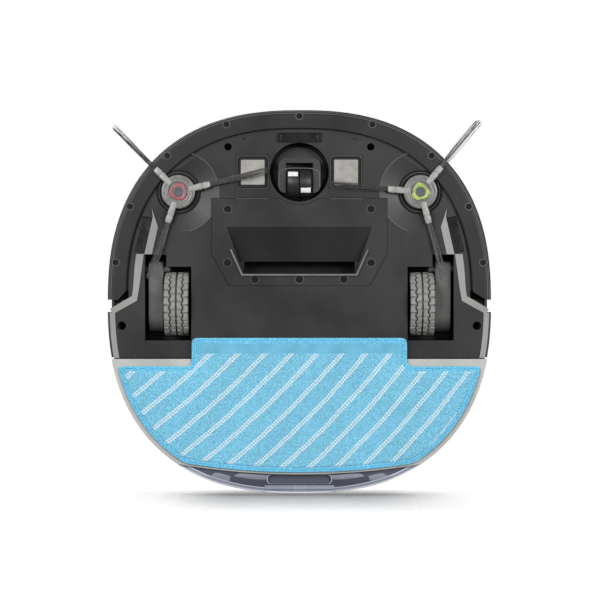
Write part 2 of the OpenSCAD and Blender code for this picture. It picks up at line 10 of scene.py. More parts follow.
import bmesh
import bpy
import numpy as np
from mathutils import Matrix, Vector


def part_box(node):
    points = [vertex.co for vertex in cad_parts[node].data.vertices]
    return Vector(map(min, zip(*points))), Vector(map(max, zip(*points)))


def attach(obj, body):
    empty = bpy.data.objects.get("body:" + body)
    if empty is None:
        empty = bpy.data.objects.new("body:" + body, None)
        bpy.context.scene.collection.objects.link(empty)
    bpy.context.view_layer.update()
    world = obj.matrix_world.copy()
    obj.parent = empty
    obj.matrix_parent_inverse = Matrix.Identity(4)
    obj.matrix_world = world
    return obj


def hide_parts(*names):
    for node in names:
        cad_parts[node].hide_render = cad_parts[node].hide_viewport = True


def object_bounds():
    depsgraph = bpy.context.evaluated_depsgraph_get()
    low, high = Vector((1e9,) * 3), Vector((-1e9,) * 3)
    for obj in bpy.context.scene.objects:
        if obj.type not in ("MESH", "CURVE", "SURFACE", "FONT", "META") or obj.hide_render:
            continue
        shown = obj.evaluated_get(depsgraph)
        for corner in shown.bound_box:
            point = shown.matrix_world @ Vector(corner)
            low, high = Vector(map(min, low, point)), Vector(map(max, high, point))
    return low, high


bl_info = {
    "name": "Floor robot finish",
    "version": (1, 0, 0),
    "blender": (4, 5, 0),
    "location": "3D View > Sidebar > Floor robot",
    "description": "Builds the finished surfaces of a low floor-cleaning robot on its packed frame",
    "category": "Object",
}

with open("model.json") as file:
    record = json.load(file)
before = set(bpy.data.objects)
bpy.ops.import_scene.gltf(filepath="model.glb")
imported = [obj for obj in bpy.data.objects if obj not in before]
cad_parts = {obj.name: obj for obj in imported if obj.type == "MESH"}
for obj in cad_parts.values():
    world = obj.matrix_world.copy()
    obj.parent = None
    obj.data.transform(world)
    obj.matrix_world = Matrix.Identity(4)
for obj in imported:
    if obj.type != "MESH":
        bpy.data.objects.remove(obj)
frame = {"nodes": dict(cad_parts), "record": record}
CAD_LOW, CAD_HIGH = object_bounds()
MM = 0.001
HALF = (CAD_HIGH.x - CAD_LOW.x) / 2
REAR_ARC = 587 * MM  # radius of the rear edge of the mop plate and of its cloth
TAIL_START = 139.4  # where the tank's underside starts to rise, in mm
TAIL_SLOPE = 10.4 / 20.6  # how steeply it rises
RECESS = np.array([0, 143.1]) * MM  # middle of the recess in the tank's underside


def middle(node):
    """The middle of a node's box."""
    low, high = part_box(node)
    return [(a + b) / 2 for a, b in zip(low, high)]


# ---------------------------------------------------------------- settings


class BodySettings(bpy.types.PropertyGroup):
    """Shape of the body's outline."""

    bluntness: bpy.props.FloatProperty(
        name="Bluntness", description="How square the outline is; 2 is a circle", default=2.42, min=2, max=4
    )
    turns: bpy.props.IntProperty(
        name="Outline steps", description="Faces round the whole outline", default=360, min=96, max=720
    )


class WheelSettings(bpy.types.PropertyGroup):
    """Tread of the drive wheels."""

    bars: bpy.props.IntProperty(
        name="Tread bars", description="Cross grooves round each tyre", default=25, min=12, max=80
    )
    groove: bpy.props.FloatProperty(
        name="Groove depth",
        description="Depth of the grooves round the tread",
        default=1.4 * MM,
        unit="LENGTH",
        subtype="DISTANCE",
    )


class BrushSettings(bpy.types.PropertyGroup):
    """Side brushes."""

    strands: bpy.props.IntProperty(
        name="Strands", description="Bristles in each tuft", default=22, min=6, max=80
    )
    left_insert: bpy.props.FloatVectorProperty(
        name="Left insert", description="Colour of the left hub's insert", default=(0.33, 0.1, 0.125),
        size=3, subtype="COLOR",
    )
    right_insert: bpy.props.FloatVectorProperty(
        name="Right insert", description="Colour of the right hub's insert", default=(0.36, 0.46, 0.13),
        size=3, subtype="COLOR",
    )


class ClothSettings(bpy.types.PropertyGroup):
    """Mop cloth."""

    blue: bpy.props.FloatVectorProperty(
        name="Cloth", description="Colour of the looped cloth", default=(0.18, 0.52, 0.75), size=3,
        subtype="COLOR",
    )
    hem: bpy.props.FloatVectorProperty(
        name="Hem", description="Colour of the sewn border", default=(0.145, 0.535, 0.86), size=3,
        subtype="COLOR",
    )
    stripe: bpy.props.FloatVectorProperty(
        name="Stripe", description="Colour of the stripes", default=(0.93, 0.95, 0.97), size=3,
        subtype="COLOR",
    )
    stripe_gap: bpy.props.FloatProperty(
        name="Stripe spacing",
        description="Distance between double stripes, measured across the body",
        default=21.17 * MM,
        unit="LENGTH",
        subtype="DISTANCE",
    )


class PlasticSettings(bpy.types.PropertyGroup):
    """Colours of the mouldings."""

    charcoal: bpy.props.FloatVectorProperty(
        name="Charcoal", description="Underside and bumper", default=(0.0145, 0.0145, 0.0152), size=3,
        subtype="COLOR",
    )
    black: bpy.props.FloatVectorProperty(
        name="Black", description="Wheel wells and frames", default=(0.005, 0.005, 0.0055), size=3,
        subtype="COLOR",
    )
    pale: bpy.props.FloatVectorProperty(
        name="Pale grey", description="Mop plate", default=(0.43, 0.43, 0.41), size=3, subtype="COLOR"
    )
    trim: bpy.props.FloatVectorProperty(
        name="Mid grey", description="Side trims", default=(0.25, 0.25, 0.24), size=3, subtype="COLOR"
    )
    smoke: bpy.props.FloatVectorProperty(
        name="Smoke", description="Water tank", default=(0.28, 0.3, 0.37), size=3, subtype="COLOR"
    )


class StageSettings(bpy.types.PropertyGroup):
    """Floor, lights and camera."""

    distance: bpy.props.FloatProperty(
        name="Camera distance", description="Camera below the floor", default=1.6, unit="LENGTH",
        subtype="DISTANCE",
    )
    field: bpy.props.FloatProperty(
        name="Field width", description="Width seen at the underside", default=0.4836, unit="LENGTH",
        subtype="DISTANCE",
    )
    air: bpy.props.FloatProperty(
        name="Ambient light", description="Strength of the even light all round", default=0.25, min=0
    )


SETTINGS = {
    "robot_body": BodySettings,
    "robot_wheels": WheelSettings,
    "robot_brushes": BrushSettings,
    "robot_cloth": ClothSettings,
    "robot_plastics": PlasticSettings,
    "robot_stage": StageSettings,
}


RIBS_IN_LANE = 10
STITCH = 2.2 * MM  # spacing of the stitches along a stripe
STRIPE_LINES = (0.355, 0.495)  # places of the two lines of a double stripe in its lane
FIRST_LANE = 0.9515  # shift of the whole pattern of stripes, in spacings


# ---------------------------------------------------------------- shader nodes


class Amount:
    """A number socket that joins in sums: each operator adds its Math node."""

    def __init__(self, finish, socket):
        self.finish, self.socket = finish, socket

    def _sum(self, operation, first, second=None):
        values = {0: first} if second is None else {0: first, 1: second}
        node = self.finish.add("ShaderNodeMath", {"operation": operation}, values)
        return Amount(self.finish, node.outputs[0])

    def __add__(self, other):
        return self._sum("ADD", self, other)

    def __radd__(self, other):
        return self._sum("ADD", other, self)

    def __sub__(self, other):
        return self._sum("SUBTRACT", self, other)

    def __rsub__(self, other):
        return self._sum("SUBTRACT", other, self)

    def __mul__(self, other):
        return self._sum("MULTIPLY", self, other)

    def __rmul__(self, other):
        return self._sum("MULTIPLY", other, self)

    def __truediv__(self, other):
        return self._sum("DIVIDE", self, other)

    def __rtruediv__(self, other):
        return self._sum("DIVIDE", other, self)

    def fraction(self):
        return self._sum("FRACT", self)

    def distance_from(self, other):
        return self._sum("ABSOLUTE", self - other)

    def wave(self):
        return self._sum("SINE", self)

    def root(self):
        return self._sum("SQRT", self)

    def ramp(self, low, high, out_low=0.0, out_high=1.0):
        """Smooth step from low to high."""
        node = self.finish.add(
            "ShaderNodeMapRange",
            {"interpolation_type": "SMOOTHSTEP"},
            {"Value": self, "From Min": low, "From Max": high, "To Min": out_low, "To Max": out_high},
        )
        return Amount(self.finish, node.outputs[0])


class Finish:
    """One material: its nodes are added by type, settings and socket values."""

    def __init__(self, name, **constants):
        self.material = bpy.data.materials.new(name)
        self.material.use_nodes = True
        self.tree = self.material.node_tree
        self.shader = self.tree.nodes["Principled BSDF"]
        for socket, value in constants.items():
            self.put(self.shader, socket.replace("_", " "), value)
        self.place = self.add("ShaderNodeTexCoord").outputs["Object"]
        self.axes = None

    def put(self, node, socket, value):
        """Feeds a socket with a sum, another socket or a constant."""
        target = node.inputs[socket]
        if isinstance(value, Amount):
            self.tree.links.new(value.socket, target)
        elif isinstance(value, bpy.types.NodeSocket):
            self.tree.links.new(value, target)
        elif target.type == "RGBA" and len(value) == 3:
            target.default_value = (*value, 1)
        else:
            target.default_value = value

    def add(self, kind, settings=None, values=None):
        node = self.tree.nodes.new(kind)
        for key, value in (settings or {}).items():
            setattr(node, key, value)
        for socket, value in (values or {}).items():
            self.put(node, socket, value)
        return node

    def axis(self, letter):
        """One coordinate of the piece, in metres."""
        if self.axes is None:
            self.axes = self.add("ShaderNodeSeparateXYZ", None, {0: self.place})
        return Amount(self, self.axes.outputs[letter.upper()])

    def noise(self, scale, detail=2.0, rough=0.5, place=None, distortion=0.0):
        node = self.add(
            "ShaderNodeTexNoise",
            None,
            {
                "Vector": self.place if place is None else place,
                "Scale": scale,
                "Detail": detail,
                "Roughness": rough,
                "Distortion": distortion,
            },
        )
        return Amount(self, node.outputs["Fac"])

    def spots(self, scale):
        """Distance from the nearest of many scattered points."""
        node = self.add("ShaderNodeTexVoronoi", {"feature": "F1"}, {"Vector": self.place, "Scale": scale})
        return Amount(self, node.outputs["Distance"])

    def stretched(self, x, y, z):
        """The piece's coordinates scaled along each axis."""
        return self.add("ShaderNodeMapping", None, {"Vector": self.place, "Scale": (x, y, z)}).outputs[0]

    def mix(self, share, first, second):
        node = self.add("ShaderNodeMix", {"data_type": "RGBA"}, {0: share, 6: first, 7: second})
        return node.outputs[2]

    def colour(self, value):
        self.put(self.shader, "Base Color", value)

    def rough(self, value):
        self.put(self.shader, "Roughness", value)

    def bump(self, height, strength, distance):
        values = {"Height": height, "Strength": strength, "Distance": distance}
        node = self.add("ShaderNodeBump", None, values)
        self.put(self.shader, "Normal", node.outputs[0])


def tinted(colour, factor):
    """A lighter or darker colour: each part times the factor, at most 1."""
    return tuple(min(1.0, c * factor) for c in colour)


def moulded(name, colour, rough=0.5, grain=2600, depth=0.05, cloudy=0.12, **more):
    """Moulded plastic: a fine spark-eroded grain, slow patches of tone and a few duller handled areas."""
    f = Finish(name, **more)
    slow = f.noise(22, 3, 0.55)
    fine = f.noise(grain, 3, 0.6)
    f.colour(f.mix(slow.ramp(0.3, 0.7), tinted(colour, 1 - cloudy), tinted(colour, 1 + cloudy)))
    f.rough(slow.ramp(0.25, 0.75, rough - 0.05, rough + 0.06) + (fine - 0.5) * 0.12)
    f.bump(fine + f.spots(grain * 0.6) * 0.5, 0.5, depth * MM)
    return f


def clear_plastic(name, colour, rough, through, cloudy=0.3, scale=90):
    """See-through plastic with flow marks and a soft inner haze."""
    f = Finish(name, Transmission_Weight=through, IOR=1.46)
    haze = f.noise(scale, 4, 0.6, distortion=0.6)
    f.colour(f.mix(haze.ramp(0.3, 0.72), tinted(colour, 1 - cloudy), tinted(colour, 1 + cloudy)))
    f.rough(haze.ramp(0.2, 0.8, rough - 0.08, rough + 0.12))
    f.bump(haze + f.noise(900, 2) * 0.3, 0.35, 0.08 * MM)
    return f


def brushed(name, colour, rough, along="x"):
    """Drawn or ground metal: fine lines along one axis."""
    f = Finish(name, Metallic=1.0)
    size = {"x": (60, 3800, 3800), "y": (3800, 60, 3800), "z": (3800, 3800, 60)}[along]
    lines = f.noise(1, 4, 0.6, place=f.stretched(*size))
    slow = f.noise(120, 2)
    f.colour(f.mix(slow.ramp(0.3, 0.7), tinted(colour, 0.88), tinted(colour, 1.1)))
    f.rough(lines.ramp(0.2, 0.8, rough - 0.1, rough + 0.12))
    f.bump(lines, 0.25, 0.02 * MM)
    return f


def soft_rubber(name, colour, rough=0.7):
    """Matt rubber with a little dust on it."""
    f = Finish(name)
    dust = f.noise(160, 4, 0.65)
    fine = f.noise(2200, 3, 0.6)
    f.colour(f.mix(dust.ramp(0.35, 0.7), tinted(colour, 0.86), tinted(colour, 1.15)))
    f.rough(dust.ramp(0.2, 0.8, rough - 0.08, rough + 0.1))
    f.bump(fine, 0.4, 0.06 * MM)
    return f


def tread_rubber(name, colour):
    """Rubber of the tyres: dusty on the blocks, and painted shade a tenth as bright below the crown, in the
    grooves and on the shoulders, by distance from the axle.
    """
    f = Finish(name)
    y, z = f.axis("y"), f.axis("z")
    tyre = middle("tyre_l")
    across, up = y - tyre[1], z - tyre[2]
    low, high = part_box("tyre_l")
    outer = (high[2] - low[2]) / 2
    top = (across * across + up * up).root().ramp(outer - 1.5 * MM, outer - 0.5 * MM)
    dust = f.noise(160, 4, 0.65)
    dusty_rubber = f.mix(dust.ramp(0.35, 0.7), tinted(colour, 0.86), tinted(colour, 1.12))
    # painted shade: in the grooves and on the shoulders the rubber is drawn at a tenth of its colour
    f.colour(f.mix(top, tinted(colour, 0.1), dusty_rubber))
    f.rough(dust.ramp(0.2, 0.8, 0.6, 0.75))
    f.bump(f.noise(2200, 3, 0.6), 0.4, 0.06 * MM)
    return f


def bristle_nylon(name, colour):
    """Dark nylon strands, streaked along their length."""
    f = Finish(name, Roughness=0.42, Sheen_Weight=0.25, Sheen_Roughness=0.4)
    streak = f.noise(1, 3, 0.6, place=f.stretched(420, 420, 900))
    f.colour(f.mix(streak.ramp(0.3, 0.7), tinted(colour, 0.6), tinted(colour, 1.5)))
    f.bump(streak, 0.2, 0.05 * MM)
    return f


def looped_cloth(name, colour, stripe=None):
    """Blue looped cloth: fine loops in slanted ribs, with a double line of short stitches in each lane,
    painted highlights on the rib crests and painted shade between the loops.
    """
    f = Finish(name, Sheen_Weight=0.3, Sheen_Roughness=0.5, Sheen_Tint=(0.8, 0.92, 1.0, 1))
    x, y = f.axis("x"), f.axis("y")
    gap = bpy.context.scene.robot_cloth.stripe_gap
    lane = slanted_lanes(x, y, gap) + (f.noise(38, 3) - 0.5) * 0.13 + (f.noise(380, 2) - 0.5) * 0.1
    ribs = (lane * (2 * math.pi * RIBS_IN_LANE)).wave()
    loops = f.spots(980)
    fuzz = f.noise(2100, 4, 0.7)
    tone = f.noise(28, 3).ramp(0.3, 0.7)
    blue = f.mix(tone, tinted(colour, 0.9), tinted(colour, 1.08))
    # painted highlight and shade: the rib crests are drawn lighter than the troughs
    blue = f.mix(ribs.ramp(-0.6, 0.9) * 0.75, blue, tinted(colour, 1.45))
    # painted shade: the pits between the loops are drawn darker
    blue = f.mix(loops.ramp(0.25, 0.75) * 0.55, blue, tinted(colour, 0.5))
    specks = f.noise(640, 2, 0.6).ramp(0.54, 0.66)
    blue = f.mix(specks * 0.36, blue, tinted(colour, 2.2))
    height = ribs * 0.3 - loops * 1.0 + fuzz * 0.9 + specks * 0.4
    if stripe is not None:
        at = lane.fraction()
        dashes = ((y - x) * (2 * math.pi * 0.7 / STITCH)).wave().ramp(-0.6, 0.4, 0.3, 1.0)
        first, second = (at.distance_from(line).ramp(0.015, 0.075, 1, 0) for line in STRIPE_LINES)
        line = (first + second) * dashes * (0.42 + fuzz * 0.8)
        blue = f.mix(line, blue, stripe)
        height = height + line * 0.8
    f.colour(blue)
    f.rough(0.86 + (fuzz - 0.5) * 0.1)
    f.bump(height, 0.9, 0.4 * MM)
    return f


def slanted_lanes(x, y, gap):
    """Stripe spacings counted across the body, along lines that lean and bend a little from side to side.

    With u = x / 100 mm and v = (y - 90 mm) / 100 mm, the lines keep x + lean(u, v) even, where lean is a
    slope in v with small squares and a product that bend them.
    """
    reach, middle_y = 100 * MM, 90 * MM
    u, v = x / reach, (y - middle_y) / reach
    lean = v * 1.006 + v * v * 0.078 - u * v * 0.067 + u * u * 0.058
    return (x + lean * reach) / gap + FIRST_LANE


def woven_band(name, colour, pitch=0.9 * MM, along="y", shine=0.35):
    """Close woven tape: ribs across it, with a silky bloom."""
    f = Finish(name, Sheen_Weight=shine, Sheen_Roughness=0.35)
    rib = (f.axis(along) * (2 * math.pi / pitch)).wave()
    fuzz = f.noise(1500, 3, 0.6)
    tone = f.noise(80, 3)
    base = f.mix(tone.ramp(0.3, 0.7), tinted(colour, 0.88), tinted(colour, 1.12))
    f.colour(f.mix(rib.ramp(-0.8, 0.8) * 0.4, base, tinted(colour, 0.7)))
    f.rough(0.7 + (fuzz - 0.5) * 0.2)
    f.bump(rib * 0.6 + fuzz * 0.6, 0.7, 0.15 * MM)
    return f


def pleated_paper(name, colour):
    """Fibrous filter paper."""
    f = Finish(name, Roughness=0.9)
    fibre = f.noise(700, 5, 0.7)
    f.colour(f.mix(fibre.ramp(0.3, 0.7), tinted(colour, 0.9), tinted(colour, 1.05)))
    f.bump(fibre, 0.5, 0.1 * MM)
    return f


def printed_board(name, colour):
    """Lacquered circuit board with paler tracks."""
    f = Finish(name, Roughness=0.35, Coat_Weight=0.3)
    tracks = f.add(
        "ShaderNodeTexBrick",
        {"offset": 0.37, "squash": 0.6, "squash_frequency": 3},
        {
            "Vector": f.place, "Scale": 180.0, "Mortar Size": 0.06,
            "Color1": tinted(colour, 0.8), "Color2": colour, "Mortar": tinted(colour, 2.0),
        },
    )
    f.colour(tracks.outputs["Color"])
    f.bump(f.noise(900, 2), 0.2, 0.05 * MM)
    return f


def glossy(name, colour, rough):
    """Smooth lacquered surface with a faint haze."""
    f = Finish(name, Coat_Weight=0.4, Coat_Roughness=0.05)
    haze = f.noise(140, 3)
    f.colour(f.mix(haze.ramp(0.3, 0.7), tinted(colour, 0.8), tinted(colour, 1.2)))
    f.rough(haze.ramp(0.2, 0.8, rough, rough + 0.08))
    return f


# ---------------------------------------------------------------- shapes


def outline_radius(turn, inset):
    """Distance from the middle to the outline moved in by inset.

    (half - inset) over the n-th root of |cos|^n + |sin|^n.
    """
    n = bpy.context.scene.robot_body.bluntness
    return (HALF - inset) * (np.abs(np.cos(turn)) ** n + np.abs(np.sin(turn)) ** n) ** (-1 / n)


def outline_at(turn, inset):
    """Point of the outline in a direction: radius times cos, radius times sin."""
    r = outline_radius(turn, inset)
    return r * np.cos(turn), r * np.sin(turn)


def turn_for(y, inset):
    """Direction on the right side in which the outline has that y: x = a (1 - |y/a|^n)^(1/n)."""
    n = bpy.context.scene.robot_body.bluntness
    a = HALF - inset
    x = a * np.clip(1 - np.abs(y / a) ** n, 0, 1) ** (1 / n)
    return np.arctan2(y, x)


def put_mesh(name, points, faces, body, material, stands_for=(), smooth=40, indices=None):
    """A closed mesh from points and faces riding on a body, turned outwards if its volume is negative."""
    mesh = bpy.data.meshes.new(name)
    mesh.from_pydata(np.asarray(points, float).tolist(), [], [list(map(int, f)) for f in faces])
    mesh.validate()
    if indices is not None:
        mesh.polygons.foreach_set("material_index", np.asarray(indices, np.int32))
    if volume(mesh) < 0:
        mesh.flip_normals()
    finish_mesh(mesh, smooth)
    return put_object(name, mesh, body, material, stands_for)


def volume(mesh):
    """Signed volume: a sixth of the sum of a . (b x c) over the triangles."""
    mesh.calc_loop_triangles()
    tri = np.empty(len(mesh.loop_triangles) * 3, np.int32)
    mesh.loop_triangles.foreach_get("vertices", tri)
    co = np.empty(len(mesh.vertices) * 3, np.float32)
    mesh.vertices.foreach_get("co", co)
    p = co.reshape(-1, 3)[tri.reshape(-1, 3)].astype(float)
    return float((p[:, 0] * np.cross(p[:, 1], p[:, 2])).sum() / 6)


def finish_mesh(mesh, smooth):
    """Smooth shading, with edges sharper than that many degrees kept sharp."""
    mesh.polygons.foreach_set("use_smooth", [True] * len(mesh.polygons))
    mesh.set_sharp_from_angle(angle=math.radians(smooth))
    mesh.update()


def put_object(name, mesh, body, material, stands_for=()):
    """An object of a mesh, riding on a body and standing for CAD nodes where it replaces them."""
    piece = bpy.data.objects.new(name, mesh)
    bpy.context.scene.collection.objects.link(piece)
    for m in material if isinstance(material, (list, tuple)) else [material]:
        mesh.materials.append(m)
    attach(piece, body)
    if stands_for:
        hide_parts(*([stands_for] if isinstance(stands_for, str) else stands_for))
    return piece


def grid_faces(rows, columns, wrap_rows=False):
    """Quads of a grid of rows by columns, joined round its columns, and round its rows where asked."""
    i = np.arange(rows if wrap_rows else rows - 1)
    a, b = np.meshgrid(i, np.arange(columns), indexing="ij")
    a2, b2 = (a + 1) % rows, (b + 1) % columns
    quads = np.stack([a * columns + b, a2 * columns + b, a2 * columns + b2, a * columns + b2], -1)
    return quads.reshape(-1, 4)


def swept(grid, closed_path=False):
    """Points and faces of a closed section carried along a path: grid is (stations, section points, 3)."""
    rows, columns = grid.shape[:2]
    faces = grid_faces(rows, columns, wrap_rows=closed_path).tolist()
    if not closed_path:
        faces.append(list(range(columns)))
        faces.append([(rows - 1) * columns + k for k in range(columns)][::-1])
    return grid.reshape(-1, 3), faces


def joined(parts):
    """Several point and face sets as one."""
    points, faces, start = [], [], 0
    for p, f in parts:
        points.append(np.asarray(p, float).reshape(-1, 3))
        faces += [[int(k) + start for k in face] for face in f]
        start += len(points[-1])
    return np.concatenate(points), faces


def front_band(section, rear, stations):
    """A section of (inset, height) in millimetres carried round the front, from y = rear to y = rear.

    The direction t runs evenly from turn_for(rear, inset) to its mirror image, and the points are
    outline_at(t, inset).
    """
    inset, height = (np.array(c)[None, :] * MM for c in zip(*section))
    first = turn_for(rear, inset)
    turn = first + np.linspace(0, 1, stations)[:, None] * (-math.pi - 2 * first)
    x, y = outline_at(turn, inset)
    return swept(np.stack([x, y, height + 0 * x], -1))


def lathe(profile, steps, centre, lobes=None):
    """A profile of (radius, height) in millimetres turned about an upright axis: x = r cos t, y = r sin t.

    A profile that ends where it starts makes a ring. lobes(t) scales the radius.
    """
    profile = np.asarray(profile, float) * MM
    turn = np.linspace(0, 2 * math.pi, steps, endpoint=False)
    scale = 1 if lobes is None else lobes(turn)[None, :]
    r, h = profile[:, :1] * scale, np.repeat(profile[:, 1:], steps, 1)
    grid = np.stack([r * np.cos(turn), r * np.sin(turn), h], -1) + np.array([centre[0], centre[1], 0.0])
    ring = bool(np.allclose(profile[0], profile[-1]))
    if ring:
        grid = grid[:-1]
    rows = len(grid)
    faces = grid_faces(rows, steps, wrap_rows=ring).tolist()
    if not ring:
        faces.append(list(range(steps))[::-1])
        faces.append([(rows - 1) * steps + k for k in range(steps)])
    return grid.reshape(-1, 3), faces


def rounded_section(steps, power):
    """Unit section |u|^p + |v|^p = 1: u and v are the signed powers 2/p of cos and sin."""
    t = np.linspace(0, 2 * math.pi, steps, endpoint=False)
    c, s = np.cos(t), np.sin(t)
    return np.sign(c) * np.abs(c) ** (2 / power), np.sign(s) * np.abs(s) ** (2 / power)


def bar(along, low, high, half_width, turn, centre, power=3.2):
    """A flat bar along a direction: at each place it has a half width and reaches from low to high."""
    u, v = rounded_section(20, power)
    along, low, high, half_width = (np.asarray(q, float)[:, None] for q in (along, low, high, half_width))
    across = half_width * u
    z = (low + high) / 2 + (high - low) / 2 * v
    x = centre[0] + along * math.cos(turn) - across * math.sin(turn)
    y = centre[1] + along * math.sin(turn) + across * math.cos(turn)
    return swept(np.stack([x, y, z], -1))


def refined(node, body, material, edge, segments=2, smooth=32):
    """A copy of a CAD node with its triangles merged to flat faces and its sharp edges rounded."""
    bm = bmesh.new()
    bm.from_mesh(frame["nodes"][node].data)
    bmesh.ops.remove_doubles(bm, verts=bm.verts, dist=2e-6)
    bmesh.ops.dissolve_limit(
        bm, angle_limit=math.radians(0.6), verts=bm.verts, edges=bm.edges, use_dissolve_boundaries=False
    )
    mesh = bpy.data.meshes.new(f"{node}_finish")
    bm.to_mesh(mesh)
    bm.free()
    finish_mesh(mesh, smooth)
    piece = put_object(f"{node}_finish", mesh, body, material, node)
    soft = piece.modifiers.new("soft_edges", "BEVEL")
    soft.width, soft.segments, soft.limit_method = edge, segments, "ANGLE"
    soft.angle_limit = math.radians(35)
    soft.harden_normals = True
    soft.use_clamp_overlap = True
    return piece


def cut(piece, cutters):
    """Takes the cutters, as point and face sets, out of a piece."""
    points, faces = joined(cutters)
    mesh = bpy.data.meshes.new("cutter")
    mesh.from_pydata(points.tolist(), [], faces)
    if volume(mesh) < 0:
        mesh.flip_normals()
    tool = bpy.data.objects.new("cutter", mesh)
    bpy.context.scene.collection.objects.link(tool)
    boolean = piece.modifiers.new("cut", "BOOLEAN")
    boolean.operation, boolean.solver, boolean.object = "DIFFERENCE", "EXACT", tool
    bpy.context.view_layer.update()
    done = bpy.data.meshes.new_from_object(piece.evaluated_get(bpy.context.evaluated_depsgraph_get()))
    old = piece.data
    piece.modifiers.remove(boolean)
    piece.data = done
    done.name = old.name + "_cut"
    bpy.data.objects.remove(tool)


def rounded_rectangle(centre, size, radius, steps=12):
    """Boundary points of a rectangle with round corners, going round from the front right corner."""
    t = np.linspace(0, math.pi / 2, steps)
    corners = []
    for k, (sx, sy) in enumerate([(1, -1), (1, 1), (-1, 1), (-1, -1)]):
        start = -math.pi / 2 + k * math.pi / 2
        cx = centre[0] + sx * (size[0] / 2 - radius)
        cy = centre[1] + sy * (size[1] / 2 - radius)
        corners.append(np.stack([cx + radius * np.cos(start + t), cy + radius * np.sin(start + t)], -1))
    return np.concatenate(corners)


def islands(node):
    """Middles of a node's separate screws in plan: points within 8 mm of one another are one screw."""
    mesh = frame["nodes"][node].data
    co = np.empty(len(mesh.vertices) * 3, np.float32)
    mesh.vertices.foreach_get("co", co)
    p = co.reshape(-1, 3)[:, :2].astype(float)
    found = []
    while len(p):
        near = np.hypot(*(p - p[0]).T) < 8 * MM
        found.append((p[near].min(0) + p[near].max(0)) / 2)
        p = p[~near]
    return found


def reach_of(boundary, centre, turns):
    """Distance from centre to a closed boundary in each direction t.

    For a chord from (x1, y1) to (x2, y2) that is (dx y1 - dy x1) / (dx sin t - dy cos t).
    """
    d = boundary - np.asarray(centre)
    angle = np.arctan2(d[:, 1], d[:, 0])
    order = np.argsort(angle)
    angle = np.concatenate([angle[order] + lap for lap in (-2 * math.pi, 0, 2 * math.pi)])
    x, y = np.tile(d[order], (3, 1)).T
    t = (np.asarray(turns) + math.pi) % (2 * math.pi) - math.pi
    k = np.clip(np.searchsorted(angle, t), 1, len(angle) - 1)
    x1, y1, dx, dy = x[k - 1], y[k - 1], x[k] - x[k - 1], y[k] - y[k - 1]
    cross = dx * np.sin(t) - dy * np.cos(t)
    flat = np.abs(cross) < 1e-12
    return np.where(flat, np.hypot(x1, y1), np.abs((dx * y1 - dy * x1) / np.where(flat, 1, cross)))


PLASTICS = {}


def finish_of(slot):
    """The material of a record slot or of a finished piece, all made at the first call."""
    if not PLASTICS:
        make_finishes()
    return PLASTICS[slot]


